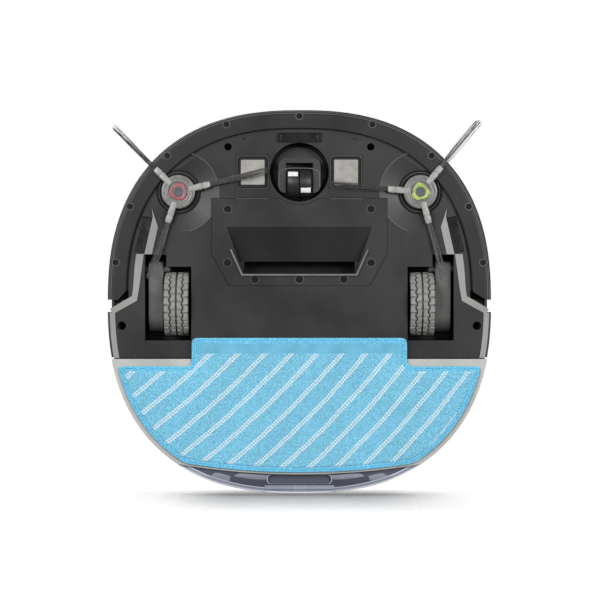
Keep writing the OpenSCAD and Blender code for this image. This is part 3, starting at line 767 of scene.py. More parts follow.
def make_finishes():
    """Every plastic, metal and rubber, by its kind, name, colour, roughness and further values."""
    plastics, brushes = bpy.context.scene.robot_plastics, bpy.context.scene.robot_brushes
    charcoal = tuple(plastics.charcoal)
    for make, name, *values, more in (
        (moulded, "charcoal_plastic", charcoal, 0.38, {"cloudy": 0.2, "Specular_IOR_Level": 0.4}),
        (moulded, "bumper_plastic", tinted(charcoal, 0.78), 0.4, {"cloudy": 0.2, "Specular_IOR_Level": 0.32}),
        (moulded, "dark_frame", tuple(plastics.black), 0.5, {"Specular_IOR_Level": 0.25}),
        (moulded, "deck_plastic", tinted(charcoal, 1.1), 0.42, {"grain": 3400, "depth": 0.03}),
        (moulded, "grey_trim", tuple(plastics.trim), 0.45, {}),
        (moulded, "mop_plate_plastic", tuple(plastics.pale), 0.5, {}),
        (soft_rubber, "lip_rubber", (0.13, 0.13, 0.13), 0.45, {}),
        (brushed, "screw_steel", (0.018, 0.018, 0.019), 0.45, {}),
        (brushed, "charge_metal", (0.3, 0.295, 0.28), 0.55, {"along": "y"}),
        (clear_plastic, "sensor_black", (0.016, 0.016, 0.018), 0.15, 0.1, {"scale": 60}),
        (glossy, "cell_wrap", (0.02, 0.09, 0.25), 0.3, {}),
        (printed_board, "board_green", (0.012, 0.11, 0.04), {}),
        (brushed, "motor_steel", (0.45, 0.45, 0.47), 0.35, {"along": "z"}),
        (glossy, "switch_black", (0.01, 0.01, 0.011), 0.3, {}),
        (clear_plastic, "status_lens", (0.8, 0.85, 0.9), 0.3, 0.2, {}),
        (clear_plastic, "gearbox_smoke", (0.155, 0.155, 0.152), 0.2, 0.2, {"cloudy": 0.16, "scale": 45}),
        (moulded, "rim_plastic", (0.012, 0.012, 0.013), 0.5, {}),
        (tread_rubber, "tyre_grey", (0.25, 0.25, 0.235), {}),
        (moulded, "caster_plastic", (0.018, 0.017, 0.018), 0.45, {}),
        (moulded, "roller_dark", (0.012, 0.012, 0.013), 0.4, {}),
        (moulded, "mark_white", (0.8, 0.8, 0.78), 0.45, {}),
        (clear_plastic, "hub_smoke", (0.22, 0.215, 0.21), 0.3, 0.25, {"cloudy": 0.18, "scale": 260}),
        (clear_plastic, "arm_smoke", (0.36, 0.36, 0.345), 0.3, 0.15, {"cloudy": 0.12, "scale": 320}),
        (clear_plastic, "cap_red", tuple(brushes.left_insert), 0.35, 0.1, {"cloudy": 0.25, "scale": 220}),
        (clear_plastic, "cap_green", tuple(brushes.right_insert), 0.35, 0.1, {"cloudy": 0.25, "scale": 220}),
        (moulded, "cap_dot", (0.07, 0.085, 0.085), 0.4, {}),
        (bristle_nylon, "bristle_brown", (0.05, 0.047, 0.045), {}),
        (moulded, "fan_white", (0.6, 0.6, 0.6), 0.4, {}),
        (moulded, "key_grey", (0.42, 0.42, 0.43), 0.35, {}),
        (clear_plastic, "tank_smoke", tuple(plastics.smoke), 0.22, 0.08, {"cloudy": 0.06, "scale": 30}),
        # tank_edge makes pale lines of painted highlight on the tank; tank_deep is darker, painted shade on
        # the hollow's floor and a darker band in the tail
        (moulded, "tank_edge", (0.6, 0.62, 0.7), 0.3, {}),
        (moulded, "tank_deep", (0.07, 0.077, 0.105), 0.3, {"cloudy": 0.05}),
        (moulded, "tank_catch", (0.16, 0.17, 0.2), 0.4, {}),
        (clear_plastic, "bin_smoke", (0.08, 0.09, 0.11), 0.2, 0.3, {"scale": 40}),
        (pleated_paper, "filter_white", (0.8, 0.8, 0.78), {}),
        # edge_line colours the bumper's two pale lines; ring_line makes pale beads of painted highlight, and
        # black_hole black beads and rings of painted shade
        (moulded, "edge_line", (0.095, 0.095, 0.095), 0.35, {}),
        (moulded, "ring_line", (0.1, 0.1, 0.1), 0.35, {}),
        (moulded, "black_hole", (0.003, 0.003, 0.003), 0.9, {}),
    ):
        PLASTICS[name] = make(name, *values, **more).material


# ---------------------------------------------------------------- pieces


def done(message, operator):
    operator.report({"INFO"}, message)
    return {"FINISHED"}


class ROBOT_OT_carried(bpy.types.Operator):
    """Give every carried CAD node its material, with rounded edges where it is seen"""

    bl_idname = "robot.carried"
    bl_label = "Frames, inner pieces and small parts"

    rounded = {
        "base_plate": 0.3, "nose_plate": 0.12, "drive_frame_l": 0.4, "drive_frame_r": 0.4,
        "caster_socket": 0.3, "suction_panel": 0.35, "suction_lip": 0.3, "charge_plate_l": 0.4,
        "charge_plate_r": 0.4, "cliff_front": 0.3, "cliff_l": 0.3, "cliff_r": 0.3,
        "plate_screws_grp": 0.2, "bumper_screws_grp": 0.15, "gearbox_l": 1.2, "gearbox_r": 1.2,
        "caster_fork": 0.8, "caster_roller": 0.3, "roller_marks": 0.1, "wheel_rim_l": 0.4,
        "wheel_rim_r": 0.4, "power_button": 0.4, "home_button": 0.4, "bin_tub": 0.4, "mop_plate": 0.5,
        "tank_latch": 0.5, "tank_cap": 0.4, "bay_shell": 0.3, "blower_housing": 0.4, "status_ring": 0.1,
        "drive_motor_l": 0.4, "drive_motor_r": 0.4, "caster_axle": 0.2,
    }
    plain = (
        "side_trim_l", "side_trim_r", "suction_duct", "battery_pack", "main_board", "brush_motor_l",
        "brush_motor_r", "bumper_switches_grp", "impeller", "bin_filter",
    )

    def execute(self, context):
        record = frame["record"]
        slots = {p["node"]: p["material_slot"] for p in record["subparts"]}
        carrier = {n: b for b, nodes in record["behaviour"]["bodies"].items() for n in nodes}
        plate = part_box("base_plate")[0][2]
        for node, edge in self.rounded.items():
            # the dishes and ramps are shallow, so their plates keep even slight creases sharp
            crease = 5 if node in ("base_plate", "nose_plate", "suction_panel") else 32
            piece = refined(node, carrier[node], finish_of(slots[node]), edge * MM, smooth=crease)
            if node.startswith("drive_frame"):
                # the flange is flush with the bottom plate and has its colour
                piece.data.materials.append(finish_of("charcoal_plastic"))
                for face in piece.data.polygons:
                    if face.normal.z < -0.9 and face.center.z < plate + 0.2 * MM:
                        face.material_index = 1
        for node in self.plain:
            mesh = frame["nodes"][node].data
            mesh.materials.clear()
            mesh.materials.append(finish_of(slots[node]))
        return done("carried pieces finished", self)


class ROBOT_OT_rims(bpy.types.Operator):
    """Make the fine beads of painted highlight round the dishes, charging plates, roller and screws, the
    beads of painted shade round the charging plates and in the seams, and the painted shade round the hubs
    """

    bl_idname = "robot.rims"
    bl_label = "Fine rims of the underside"

    def ring(self, boundary, centre, wide, z):
        """A bead of a given width along a closed boundary, 0.12 mm proud of the plate."""
        out = boundary - np.asarray(centre)
        out /= np.hypot(*out.T)[:, None]
        grid = [
            np.concatenate([boundary + out * move * wide, np.full((len(boundary), 1), z + lift * MM)], 1)
            for move, lift in ((-0.5, 0.1), (-0.4, -0.1), (0.4, -0.1), (0.5, 0.1))
        ]
        return swept(np.stack(grid, 1), closed_path=True)

    def execute(self, context):
        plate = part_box("base_plate")[0][2]
        # light gathers pale beads, painted highlights on edges; dark gathers black beads, painted shade in
        # gaps and seams
        light, dark, hub_shade_rings = [], [], []
        for side, way in (("l", 0.0), ("r", math.pi)):
            place = middle(f"brush_cap_{side}")
            light.append(self.dish_highlight(place, way, plate))
            # black ring round the hub's foot: painted shade
            hub_shade_profile = [(13.9, 11.2), (17.3, 10.7), (17.9, 10.75), (17.9, 11.4), (13.9, 12.0), (13.9, 11.2)]
            hub_shade_rings.append(lathe(hub_shade_profile, 72, place))
            plan = middle(f"charge_plate_{side}")[:2]
            # round each charging plate, a black bead of painted shade in its gap and a pale bead of painted
            # highlight on its frame
            for beads, size, corner, wide in (
                (dark, (22.6, 23.8), 1.6, 0.9),
                (light, (25.2, 26.6), 3, 0.45),
            ):
                line = rounded_rectangle(plan, np.array(size) * MM, corner * MM, 8)
                beads.append(self.ring(line, plan, wide * MM, plate))
        turn = np.linspace(0, 2 * math.pi, 40, endpoint=False)
        circle = np.stack([np.cos(turn), np.sin(turn)], -1)
        # pale rings round the screws: painted highlights
        for place in islands("plate_screws_grp"):
            # the screws nearer the middle hold the suction panel, which stands 0.4 mm lower
            face = plate - 0.4 * MM * (abs(place[0]) < 60 * MM)
            light.append(self.ring(place + circle * 3.3 * MM, place, 0.4 * MM, face))
        # pale ring round each hub: painted highlight
        for side in ("l", "r"):
            place = np.array(middle(f"brush_cap_{side}")[:2])
            light.append(self.ring(place + circle * 15.9 * MM, place, 0.4 * MM, 10.85 * MM))
        self.seams(plate, light, dark)
        self.fork_arch_highlight()
        ledge = [(13.0, 12.1), (13.0, 11.65), (19.6, 11.65), (19.6, 12.1)]
        points, faces = front_band(ledge, -9 * MM, 150)
        put_mesh("front_ledge", points, faces, "chassis", finish_of("charcoal_plastic"), (), 30)
        put_mesh("plate_highlight_beads", *joined(light), "chassis", finish_of("ring_line"), (), 60)
        put_mesh("plate_shade_beads", *joined(dark), "chassis", finish_of("black_hole"), (), 60)
        put_mesh("hub_seats", *joined(hub_shade_rings), "chassis", finish_of("black_hole"), (), 40)
        return done("rims made", self)

    def dish_highlight(self, place, way, plate):
        """Painted highlight along the dish's edge: an arc of 32.6 mm radius about a brush, on the side that
        faces the middle.
        """
        turn = way + np.linspace(-1.25, 1.3, 90)[:, None]
        r = (32.6 + np.array([-0.3, -0.22, 0.22, 0.3])[None, :]) * MM
        z = plate + np.array([0.1, -0.1, -0.1, 0.1])[None, :] * MM + 0 * turn
        return swept(np.stack([place[0] + r * np.cos(turn), place[1] + r * np.sin(turn), z], -1))

    def seams(self, plate, light, dark):
        """Line ahead of the suction panel, left and right of the fork: a black line of painted shade in the
        seam, with a pale line of painted highlight behind it.
        """
        reach = np.array([24.8, 25.0, 51.2, 51.4]) * MM
        flat = np.full(4, plate)
        for way in (0.0, math.pi):
            for beads, y, low, half in ((dark, -83.4, 0.05, 0.35), (light, -82.9, 0.06, 0.2)):
                width = np.full(4, half * MM)
                beads.append(bar(reach, flat - low * MM, flat + 0.1 * MM, width, way, (0, y * MM), power=2))

    def fork_arch_highlight(self):
        """Pale arch of painted highlight over the roller, on the fork: sides parallel, top bent to a wide
        arc.

        With u from -1 to 1, x = 16.4 sign(u) min(1, 1.35 |u|), and y = 3.2 (|u| / 0.74)^4 up to |u| = 0.74,
        then straight back.
        """
        low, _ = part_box("caster_fork")
        count, bend = 60, 0.74
        u = np.linspace(-1, 1, count)
        x = 16.4 * np.sign(u) * np.minimum(1, 1.35 * np.abs(u))
        y = np.where(np.abs(u) < bend, -107.2 + 3.2 * np.abs(u / bend) ** 4, -104.0 + (np.abs(u) - bend) * 44)
        arch = np.stack([x, y], -1) * MM
        step = np.gradient(arch, axis=0)
        side = np.stack([-step[:, 1], step[:, 0]], -1) / np.hypot(*step.T)[:, None]
        rows = [
            np.c_[arch + side * move * MM, np.full(count, low[2] + lift * MM)]
            for move, lift in ((-0.35, 0.1), (-0.3, -0.1), (0.3, -0.1), (0.35, 0.1))
        ]
        put_mesh("fork_arch_highlight", *swept(np.stack(rows, 1)), "fork", finish_of("ring_line"), (), 60)


class ROBOT_OT_bumper(bpy.types.Operator):
    """Make the bumper, its window, its screw holes and the pale rings of painted highlight round them"""

    bl_idname = "robot.bumper"
    bl_label = "Bumper"

    def execute(self, context):
        low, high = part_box("bumper_shell")
        base, top = low[2] / MM, high[2] / MM
        # section of (inset, height) in millimetres, from the flange's inner edge round to it again
        section = [
            (15.6, base + 0.5), (15.2, base + 0.05), (14.6, base), (14.2, base), (9.0, base), (5.2, base),
            (4.75, base), (4.2, base + 0.1), (4.0, base + 0.45), (3.75, base + 0.45), (3.6, base + 0.12),
            (3.1, base + 0.12), (2.95, base + 0.45), (2.3, base + 0.5), (2.15, base + 0.2),
            (1.75, base + 0.2), (1.6, base + 0.45), (1.05, base + 1.2), (0.6, base + 2.8),
            (0.3, base + 4.4), (0.18, base + 7), (0.15, base + 12), (0.15, top - 6), (0.15, top - 2.2),
            (0.3, top - 1.1), (0.7, top - 0.4), (1.5, top), (8, top), (8, top - 2), (3.2, top - 2.2),
            (2.8, top - 3), (2.7, base + 4), (3.1, base + 2.4), (15.2, base + 2), (15.6, base + 1.6),
        ]
        pale_faces = (10, 14)  # the faces between two points of the section that make its two pale lines
        # the flange's ends slope forward from 9.6 mm in
        inset = np.array([i for i, _ in section]) * MM
        rear = high[1] - np.clip(inset - 9.6 * MM, 0, None) * (7.7 / 6.0)
        points, faces = front_band(section, rear, context.scene.robot_body.turns // 2)
        index = np.isin(np.arange(len(faces)) % len(section), pale_faces).astype(int)
        index[-2:] = 0
        finishes = [finish_of("bumper_plastic"), finish_of("edge_line")]
        bumper = put_mesh("bumper_finish", points, faces, "bumper", finishes, "bumper_shell", 40, index)
        hole = [(2.5, base - 5), (2.5, base + 0.9)]
        # pale rings round the screw holes: painted highlights
        rim = [(2.5, 0.1), (2.6, -0.22), (2.95, -0.22), (3.25, 0.1), (2.5, 0.1)]
        places = islands("bumper_screws_grp")
        cut(bumper, [lathe(hole, 32, place) for place in places])
        rings = [lathe([(r, base + z) for r, z in rim], 40, place) for place in places]
        put_mesh("bumper_screw_highlights", *joined(rings), "bumper", finish_of("ring_line"))
        self.window()
        return done("bumper made", self)

    def window(self):
        """Dark window let into the bumper's face."""
        low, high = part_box("bumper_window")
        z0, z1 = low[2] / MM, high[2] / MM
        section = [(0.02, z0 + 1), (0.02, z1 - 1), (0.25, z1), (2.2, z1), (2.2, z0), (0.25, z0)]
        points, faces = front_band(section, high[1], 120)
        put_mesh("bumper_window_finish", points, faces, "bumper", finish_of("sensor_black"), "bumper_window")


class ROBOT_OT_top(bpy.types.Operator):
    """Make the top cover with its lid opening, keys' holes, skirt and outlet slots, and the dust box lid"""

    bl_idname = "robot.top"
    bl_label = "Top cover and lid"

    def execute(self, context):
        self.deck(context.scene.robot_body.turns)
        self.wall()
        self.rim_ring()
        refined("bin_lid", "dust_lid", finish_of("deck_plastic"), 0.45 * MM, 3)
        return done("top cover made", self)

    def deck(self, steps):
        """Cover: rings over the outline's edge, inwards to the lid's opening, down it and back underneath.

        A ring between the outline P and the opening Q is P + share (Q - P).
        """
        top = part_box("top_shell")[1][2] / MM
        turn = np.linspace(0, 2 * math.pi, steps, endpoint=False)
        centre = np.array([middle("bin_lid")[0], 13.5 * MM])
        reach = reach_of(rounded_rectangle(centre, (148 * MM, 62.6 * MM), 6 * MM, 24), centre, turn)
        hole = centre[:, None] + reach * np.stack([np.cos(turn), np.sin(turn)])

        def level(plan, z):
            return np.stack([*plan, np.full(steps, z * MM)], -1)

        rings = [
            level(outline_at(turn, inset * MM), z)
            for inset, z in (
                (2.5, top - 2.48), (0.0, top - 2.48), (0.0, top - 2.2), (0.1, top - 1.6), (0.45, top - 1.0),
                (1.1, top - 0.5), (2.2, top - 0.2), (3.6, top - 0.05), (5.5, top),
            )
        ]
        outer = np.stack(outline_at(turn, 5.5 * MM))
        rings += [level(outer + (hole - outer) * share, top) for share in (0.35, 0.7, 0.93)]
        for grow, z in [(0.5, top), (0.15, top - 0.08), (0.0, top - 0.3), (0.0, top - 2.4)]:
            rings.append(level(centre[:, None] + (hole - centre[:, None]) * (1 + grow * MM / reach), z))
        under = np.stack(outline_at(turn, 2.4 * MM))
        rings += [level(hole + (under - hole) * share, top - 2.5) for share in (0.5, 1.0)]
        points, faces = swept(np.stack(rings), closed_path=True)
        deck = put_mesh("top_cover", points, faces, "chassis", finish_of("deck_plastic"), "top_shell", 30)
        cut(deck, [self.key_hole("power_button"), self.key_hole("home_button"), self.lens_groove()])
        finish_mesh(deck.data, 30)

    def key_hole(self, node):
        """Bore in the deck for a key's stem, 1 mm smaller all round than its head."""
        low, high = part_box(node)
        radius = (high[0] - low[0]) / 2 / MM - 1
        return lathe([(radius, 40), (radius, 70)], 64, middle(node))

    def lens_groove(self):
        """Groove in the deck that the ring of light sits in."""
        low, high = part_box("status_ring")
        outer = (high[0] - low[0]) / 2 / MM + 0.1
        inner, floor, above = outer - 1.9, 54.3, 70
        section = [(outer, floor), (outer, above), (inner, above), (inner, floor), (outer, floor)]
        return lathe(section, 64, middle("status_ring"))

    def wall(self):
        """Rear wall: its foot is low beside the wheels and steps up over the water tank."""
        low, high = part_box("side_wall")
        tank_low, tank_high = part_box("tank_shell")
        step_y, tail_z, front = tank_low[1] - 1.2 * MM, tank_high[2] + 1.1 * MM, 8.5 * MM
        a0, a1 = float(turn_for(front, 0)), float(turn_for(step_y, 0))
        side, tail = np.linspace(a0, a1, 24), np.linspace(a1, math.pi - a1, 150)
        turn = np.concatenate([side, tail, math.pi - side[::-1]])
        foot = np.repeat([low[2], tail_z, low[2]], [24, 150, 24])
        inset = np.array([0.0, 0.0, 0.12, 0.5, 1.2, 2.2, 2.4, 2.4, 0.6]) * MM
        to_the_top = 99
        rise = np.array([to_the_top, 0.9, 0.35, 0.06, 0.0, 0.0, 0.3, to_the_top, to_the_top]) * MM
        z = np.minimum(foot[:, None] + rise[None, :], high[2] - 2.9 * MM)
        x, y = outline_at(turn[:, None], inset[None, :])
        points, faces = swept(np.stack([x, y, z], -1))
        wall = put_mesh("rear_wall", points, faces, "chassis", finish_of("deck_plastic"), "side_wall", 35)
        cut(wall, [self.outlet(i * 9 * MM) for i in range(-5, 6)])
        finish_mesh(wall.data, 35)

    def outlet(self, x):
        """Upright box, 3.2 by 7.5 mm, through the wall at the tail."""
        signs = np.array([[a, b, c] for a in (-1, 1) for b in (-1, 1) for c in (-1, 1)])
        corners = signs * np.array([1.6, 8, 3.75]) * MM + np.array([x, HALF - 4 * MM, 41 * MM])
        return corners, [[0, 1, 3, 2], [4, 6, 7, 5], [0, 4, 5, 1], [2, 3, 7, 6], [0, 2, 6, 4], [1, 5, 7, 3]]

    def rim_ring(self):
        """Rounded ring under the cover's edge, all the way round."""
        turn = np.linspace(0, 2 * math.pi, 360, endpoint=False)
        section = [(0.25, 50.0), (0.0, 50.3), (0.0, 52.7), (0.2, 52.98), (2.4, 52.98), (2.4, 50.0)]
        inset, z = (np.array(c)[None, :] * MM for c in zip(*section))
        x, y = outline_at(turn[:, None], inset)
        ring = swept(np.stack([x, y, z + 0 * x], -1), closed_path=True)
        put_mesh("rim_ring", *ring, "chassis", finish_of("deck_plastic"), (), 35)


class ROBOT_OT_tank(bpy.types.Operator):
    """Make the smoked water tank with its sloping tail"""

    bl_idname = "robot.tank"
    bl_label = "Water tank"

    def execute(self, context):
        refined("tank_shell", "tank", finish_of("tank_smoke"), 0.4 * MM)
        recess = rounded_rectangle(RECESS, (51.2 * MM, 7.6 * MM), 3.0 * MM, 8)
        plug = np.stack([np.c_[recess, np.full(len(recess), h * MM)] for h in (2, 12)])
        cut(self.tail(), [swept(plug)])
        out = recess - RECESS
        out /= np.hypot(*out.T)[:, None]
        # pale bead round the hollow's edge: painted highlight
        rim = []
        for move, up in ((0.0, 0.3), (0.0, -0.25), (0.55, -0.25), (0.6, 0.3)):
            edge = recess + out * move * MM
            rim.append(np.c_[edge, (self.rise(edge[:, 1]) - 0.5 + up) * MM])
        bead = swept(np.stack(rim, 1), closed_path=True)
        put_mesh("hollow_rim_highlight", *bead, "tank", finish_of("tank_edge"), (), 60)
        # the hollow's floor, drawn dark: painted shade
        floor = np.stack([np.c_[recess * [0.99, 1.0], np.full(len(recess), h * MM)] for h in (9.4, 9.9)])
        put_mesh("hollow_floor_shade", *swept(floor), "tank", finish_of("tank_deep"), (), 40)
        return done("tank made", self)

    def rise(self, y):
        """Height in millimetres of the tank's underside: 6, and rising steadily behind the tail's start."""
        return 6 + np.maximum(y / MM - TAIL_START, 0) * TAIL_SLOPE

    def tail(self):
        """Cover of the sloping tail, in rows that follow the outline, with two raised lips along its edge,
        pale lines of painted highlight beside them and a darker band inside.

        A row at a given inset lies at outline_at(t, inset), or on the mop plate's rear arc
        y = foot - x^2 / (2 R) where that is further back, at the height rise(y) less 0.75 mm plus its lift.
        """
        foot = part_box("mop_plate")[1][1] / MM
        half = self.half_angle(foot, 0.3)
        turn = np.linspace(math.pi / 2 - half, math.pi / 2 + half, 181)[:, None]
        inset = np.array([0.3, 0.42, 0.7, 1.4, 1.5, 1.7, 3.1, 3.2, 3.3, 3.9, 4.0, 4.2, 9.0, 15.0, 21.0])
        lift = np.array([2.4, 0.6, 0.1, 0.1, 0.4, 0.5, 0.5, 0.2, 0.1, 0.1, 0.3, 0.75, 0.6, 0.4, 0.4])
        x, y = outline_at(turn, inset[None, :] * MM)
        y = np.maximum(y, (foot - 1.2) * MM - x**2 / (2 * REAR_ARC))
        # in the middle it stays below the catch
        limit = np.where(np.abs(x) < 27 * MM, 12.3, 20.0)
        z = np.minimum(np.maximum(self.rise(y), 6.5) - 0.75 + lift[None, :], limit)
        under = np.stack([x, y, z * MM], -1)
        over = under[:, ::-1] + np.array([0, 0, 0.25 * MM])
        points, faces = swept(np.concatenate([under, over], 1))
        part = np.arange(len(faces)) % (2 * len(inset))
        # faces beside the lips take tank_edge, pale lines of painted highlight; the band further in takes
        # tank_deep, a darker tone
        index = np.select([np.isin(part, (1, 2, 8)), np.isin(part, (11, 12, 13))], [1, 2], 0)
        index[-2:] = 0
        finishes = [finish_of("tank_smoke"), finish_of("tank_edge"), finish_of("tank_deep")]
        return put_mesh("tank_tail", points, faces, "tank", finishes, (), 30, index)

    def half_angle(self, foot, inset):
        """Half the angle over which the outline at that inset lies behind the mop plate's rear edge."""
        turn = np.linspace(0, 1.2, 600)
        x, y = outline_at(math.pi / 2 - turn, inset * MM)
        plate = (foot + 0.9) * MM - x**2 / (2 * REAR_ARC)
        return float(turn[y > plate].max())


class ROBOT_OT_wheels(bpy.types.Operator):
    """Make the two treaded tyres"""

    bl_idname = "robot.wheels"
    bl_label = "Tyres"

    def execute(self, context):
        for side in ("l", "r"):
            node = f"tyre_{side}"
            points, faces = self.tread(context.scene.robot_wheels, node)
            put_mesh(f"{node}_finish", points, faces, f"wheel_{side}", finish_of("tyre_grey"), node, 28)
        return done("tyres made", self)

    def tread(self, setting, node):
        """Radius over turn and width: the crown less the grooves between the four ribs and the cross bars.

        The crown is R - 0.25 w^2 with rounded shoulders, a groove is 1 - (distance / half its width)^4,
        and the point is (w half width, r cos t, r sin t) about the axle.
        """
        low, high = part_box(node)
        centre, outer, half = middle(node), (high[2] - low[2]) / 2, (high[0] - low[0]) / 2
        steps, ribs = 600, 4
        turn = np.linspace(0, 2 * math.pi, steps, endpoint=False)[:, None]
        w = np.linspace(-1, 1, 81)[None, :]
        crown = outer - 0.25 * MM * w**2 - 1.1 * MM * np.clip((np.abs(w) - 0.9) / 0.1, 0, 1) ** 2
        phase = turn * setting.bars / (2 * math.pi)
        # the lines between ribs zigzag, so the blocks of the two middle ribs are six-sided
        zigzag = np.abs((phase + 0.25) % 1 - 0.5) * 2 - 0.5
        place = (w + 1) / 2 * ribs
        place = place + np.sign(w) * 0.34 * zigzag * np.clip(1 - np.abs(np.abs(w) - 0.5) / 0.5, 0, 1)
        near = np.abs(place - np.round(place)) / ribs * 2 * half
        inner = (np.round(place) > 0) & (np.round(place) < ribs)
        groove = np.where(inner, np.clip(1 - (near / (0.8 * MM)) ** 4, 0, 1), 0)
        rib = np.clip(np.floor(place), 0, ribs - 1)
        at = phase + 0.5 * ((rib == 1) | (rib == 2)) + 0.1 * np.abs(w)
        bar_at = np.abs(at - np.round(at)) * 2
        bar_cut = np.clip(1 - (bar_at / 0.25) ** 4, 0, 1)
        r = crown - setting.groove * np.maximum(groove, 0.62 * bar_cut)
        x = centre[0] + w * half + 0 * turn
        # the side walls and the seat on the rim, back to the first edge
        wall = np.array([[1.0, 21.2], [0.96, 20.45], [-0.96, 20.45], [-1.0, 21.2]])
        edge_x = np.broadcast_to(centre[0] + wall[:, 0] * half, (steps, 4))
        edge_r = np.broadcast_to(wall[:, 1] * MM, (steps, 4))
        x, r = np.concatenate([x, edge_x], 1), np.concatenate([r, edge_r], 1)
        grid = np.stack([x, centre[1] + r * np.cos(turn), centre[2] + r * np.sin(turn)], -1)
        return swept(grid, closed_path=True)


class ROBOT_OT_brushes(bpy.types.Operator):
    """Make the side brushes: hubs, arms with sleeves, inserts and bristles"""

    bl_idname = "robot.brushes"
    bl_label = "Side brushes"

    def execute(self, context):
        rng = np.random.default_rng(7)
        for side, insert, turns in (
            ("l", "cap_red", (109, 225.3, 346.4)),
            ("r", "cap_green", (74.8, 184.6, 310)),
        ):
            centre = middle(f"brush_cap_{side}")[:2]
            arms = [math.radians(t) for t in turns]
            self.hub(side, centre, arms)
            self.insert(side, centre, insert, arms[0])
            self.tufts(side, centre, arms, rng, context.scene.robot_brushes.strands)
        return done("side brushes made", self)

    def hub(self, side, centre, arms):
        """Disc with a stepped face, turned about the shaft, and three flat arms with a sleeve on each."""
        profile = [
            (0.01, 5.6), (7.7, 5.6), (7.75, 4.75), (8.1, 4.45), (9.6, 4.4), (10.2, 4.62), (10.8, 4.4),
            (12.6, 4.42), (13.3, 4.7), (13.6, 5.4), (13.6, 7.7), (13.2, 8.1), (3.0, 8.1), (3.0, 20.0),
            (0.01, 20.2),
        ]
        disc = lathe(profile, 96, centre)
        put_mesh(f"hub_{side}", *disc, f"brush_{side}", finish_of("hub_smoke"), f"brush_hub_{side}", 40)
        # arm, neck and sleeve: distance along, lower face, upper face and half width, in millimetres
        stretches = (
            ((8.6, 9.2, 13.0, 18.6, 19.4, 19.6), (4.5, 4.02, 4.02, 4.25, 4.35, 4.6),
             (5.2, 6.4, 7.0, 7.0, 6.9, 6.6), (1.9, 2.35, 2.45, 2.75, 2.7, 2.3)),
            ((19.2, 20.9), (4.75, 4.75), (6.6, 6.6), (2.25, 2.25)),
            ((20.4, 20.7, 23.0, 25.6, 26.2), (4.7, 4.3, 4.25, 4.5, 4.9), (6.6, 7.1, 7.1, 6.9, 6.5),
             (2.3, 2.75, 2.7, 2.45, 2.1)),
        )
        parts = [
            bar(*(np.array(q) * MM for q in stretch), turn, centre) for turn in arms for stretch in stretches
        ]
        put_mesh(f"arms_{side}", *joined(parts), f"brush_{side}", finish_of("arm_smoke"), (), 35)

    def insert(self, side, centre, slot, first):
        """Coloured insert with three soft lobes, r (1 + 0.1 cos 3t + 0.03 cos 7t), and its dark dot."""
        def lobes(t):
            return 1 + 0.1 * np.cos(3 * (t - first - math.pi / 3)) + 0.03 * np.cos(7 * t)

        profile = [(0.01, 5.5), (7.0, 5.5), (6.9, 4.5), (6.5, 4.18), (5.4, 4.05), (4.6, 4.3), (0.01, 4.4)]
        ring = lathe(profile, 72, centre, lobes)
        put_mesh(f"insert_{side}", *ring, f"brush_{side}", finish_of(slot), f"brush_cap_{side}", 40)
        profile = [(0.01, 4.6), (4.1, 4.6), (4.1, 4.0), (3.8, 3.9), (2.4, 4.05), (2.2, 4.3), (0.01, 4.3)]
        put_mesh(f"dot_{side}", *lathe(profile, 48, centre), f"brush_{side}", finish_of("cap_dot"), (), 40)

    def tufts(self, side, centre, arms, rng, count):
        """Each strand is a tapered tube on a bowed line from the sleeve to the tip circle.

        With s from 0 to 1 along it: across = start + (end - start) s + bow sin(pi s), and the height falls
        from the root's to the tip's with s^1.1.
        """
        start, reach, root_z, tip_z = 24.5, 74.6, 5.75, 2.95
        s = np.linspace(0, 1, 8)
        ring = np.linspace(0, 2 * math.pi, 5, endpoint=False)
        strands = []
        for turn in arms:
            for _ in range(count):
                side0, up0 = rng.uniform(-1.6, 1.6), rng.uniform(-0.7, 0.7)
                side1 = side0 * 1.75 + rng.normal(0, 0.6)
                tip = reach - abs(rng.normal(0, 1.6)) - 0.25 * side1**2
                bow = rng.normal(0, 0.5)
                along = start + (tip - start) * s
                across = side0 + (side1 - side0) * s + bow * np.sin(math.pi * s)
                height = root_z + up0 * (1 - s) * 0.9 - (root_z - tip_z) * s**1.1 + rng.normal(0, 0.15) * s
                radius = 0.21 - 0.08 * s
                a = (along[:, None] + 0 * ring) * MM
                c = (across[:, None] + radius[:, None] * np.cos(ring)) * MM
                z = (np.maximum(height, 2.4)[:, None] + radius[:, None] * np.sin(ring)) * MM
                x = centre[0] + a * math.cos(turn) - c * math.sin(turn)
                y = centre[1] + a * math.sin(turn) + c * math.cos(turn)
                strands.append(swept(np.stack([x, y, z], -1)))
        put_mesh(
            f"bristles_{side}_finish", *joined(strands), f"brush_{side}", finish_of("bristle_brown"),
            f"bristles_{side}", 60,
        )


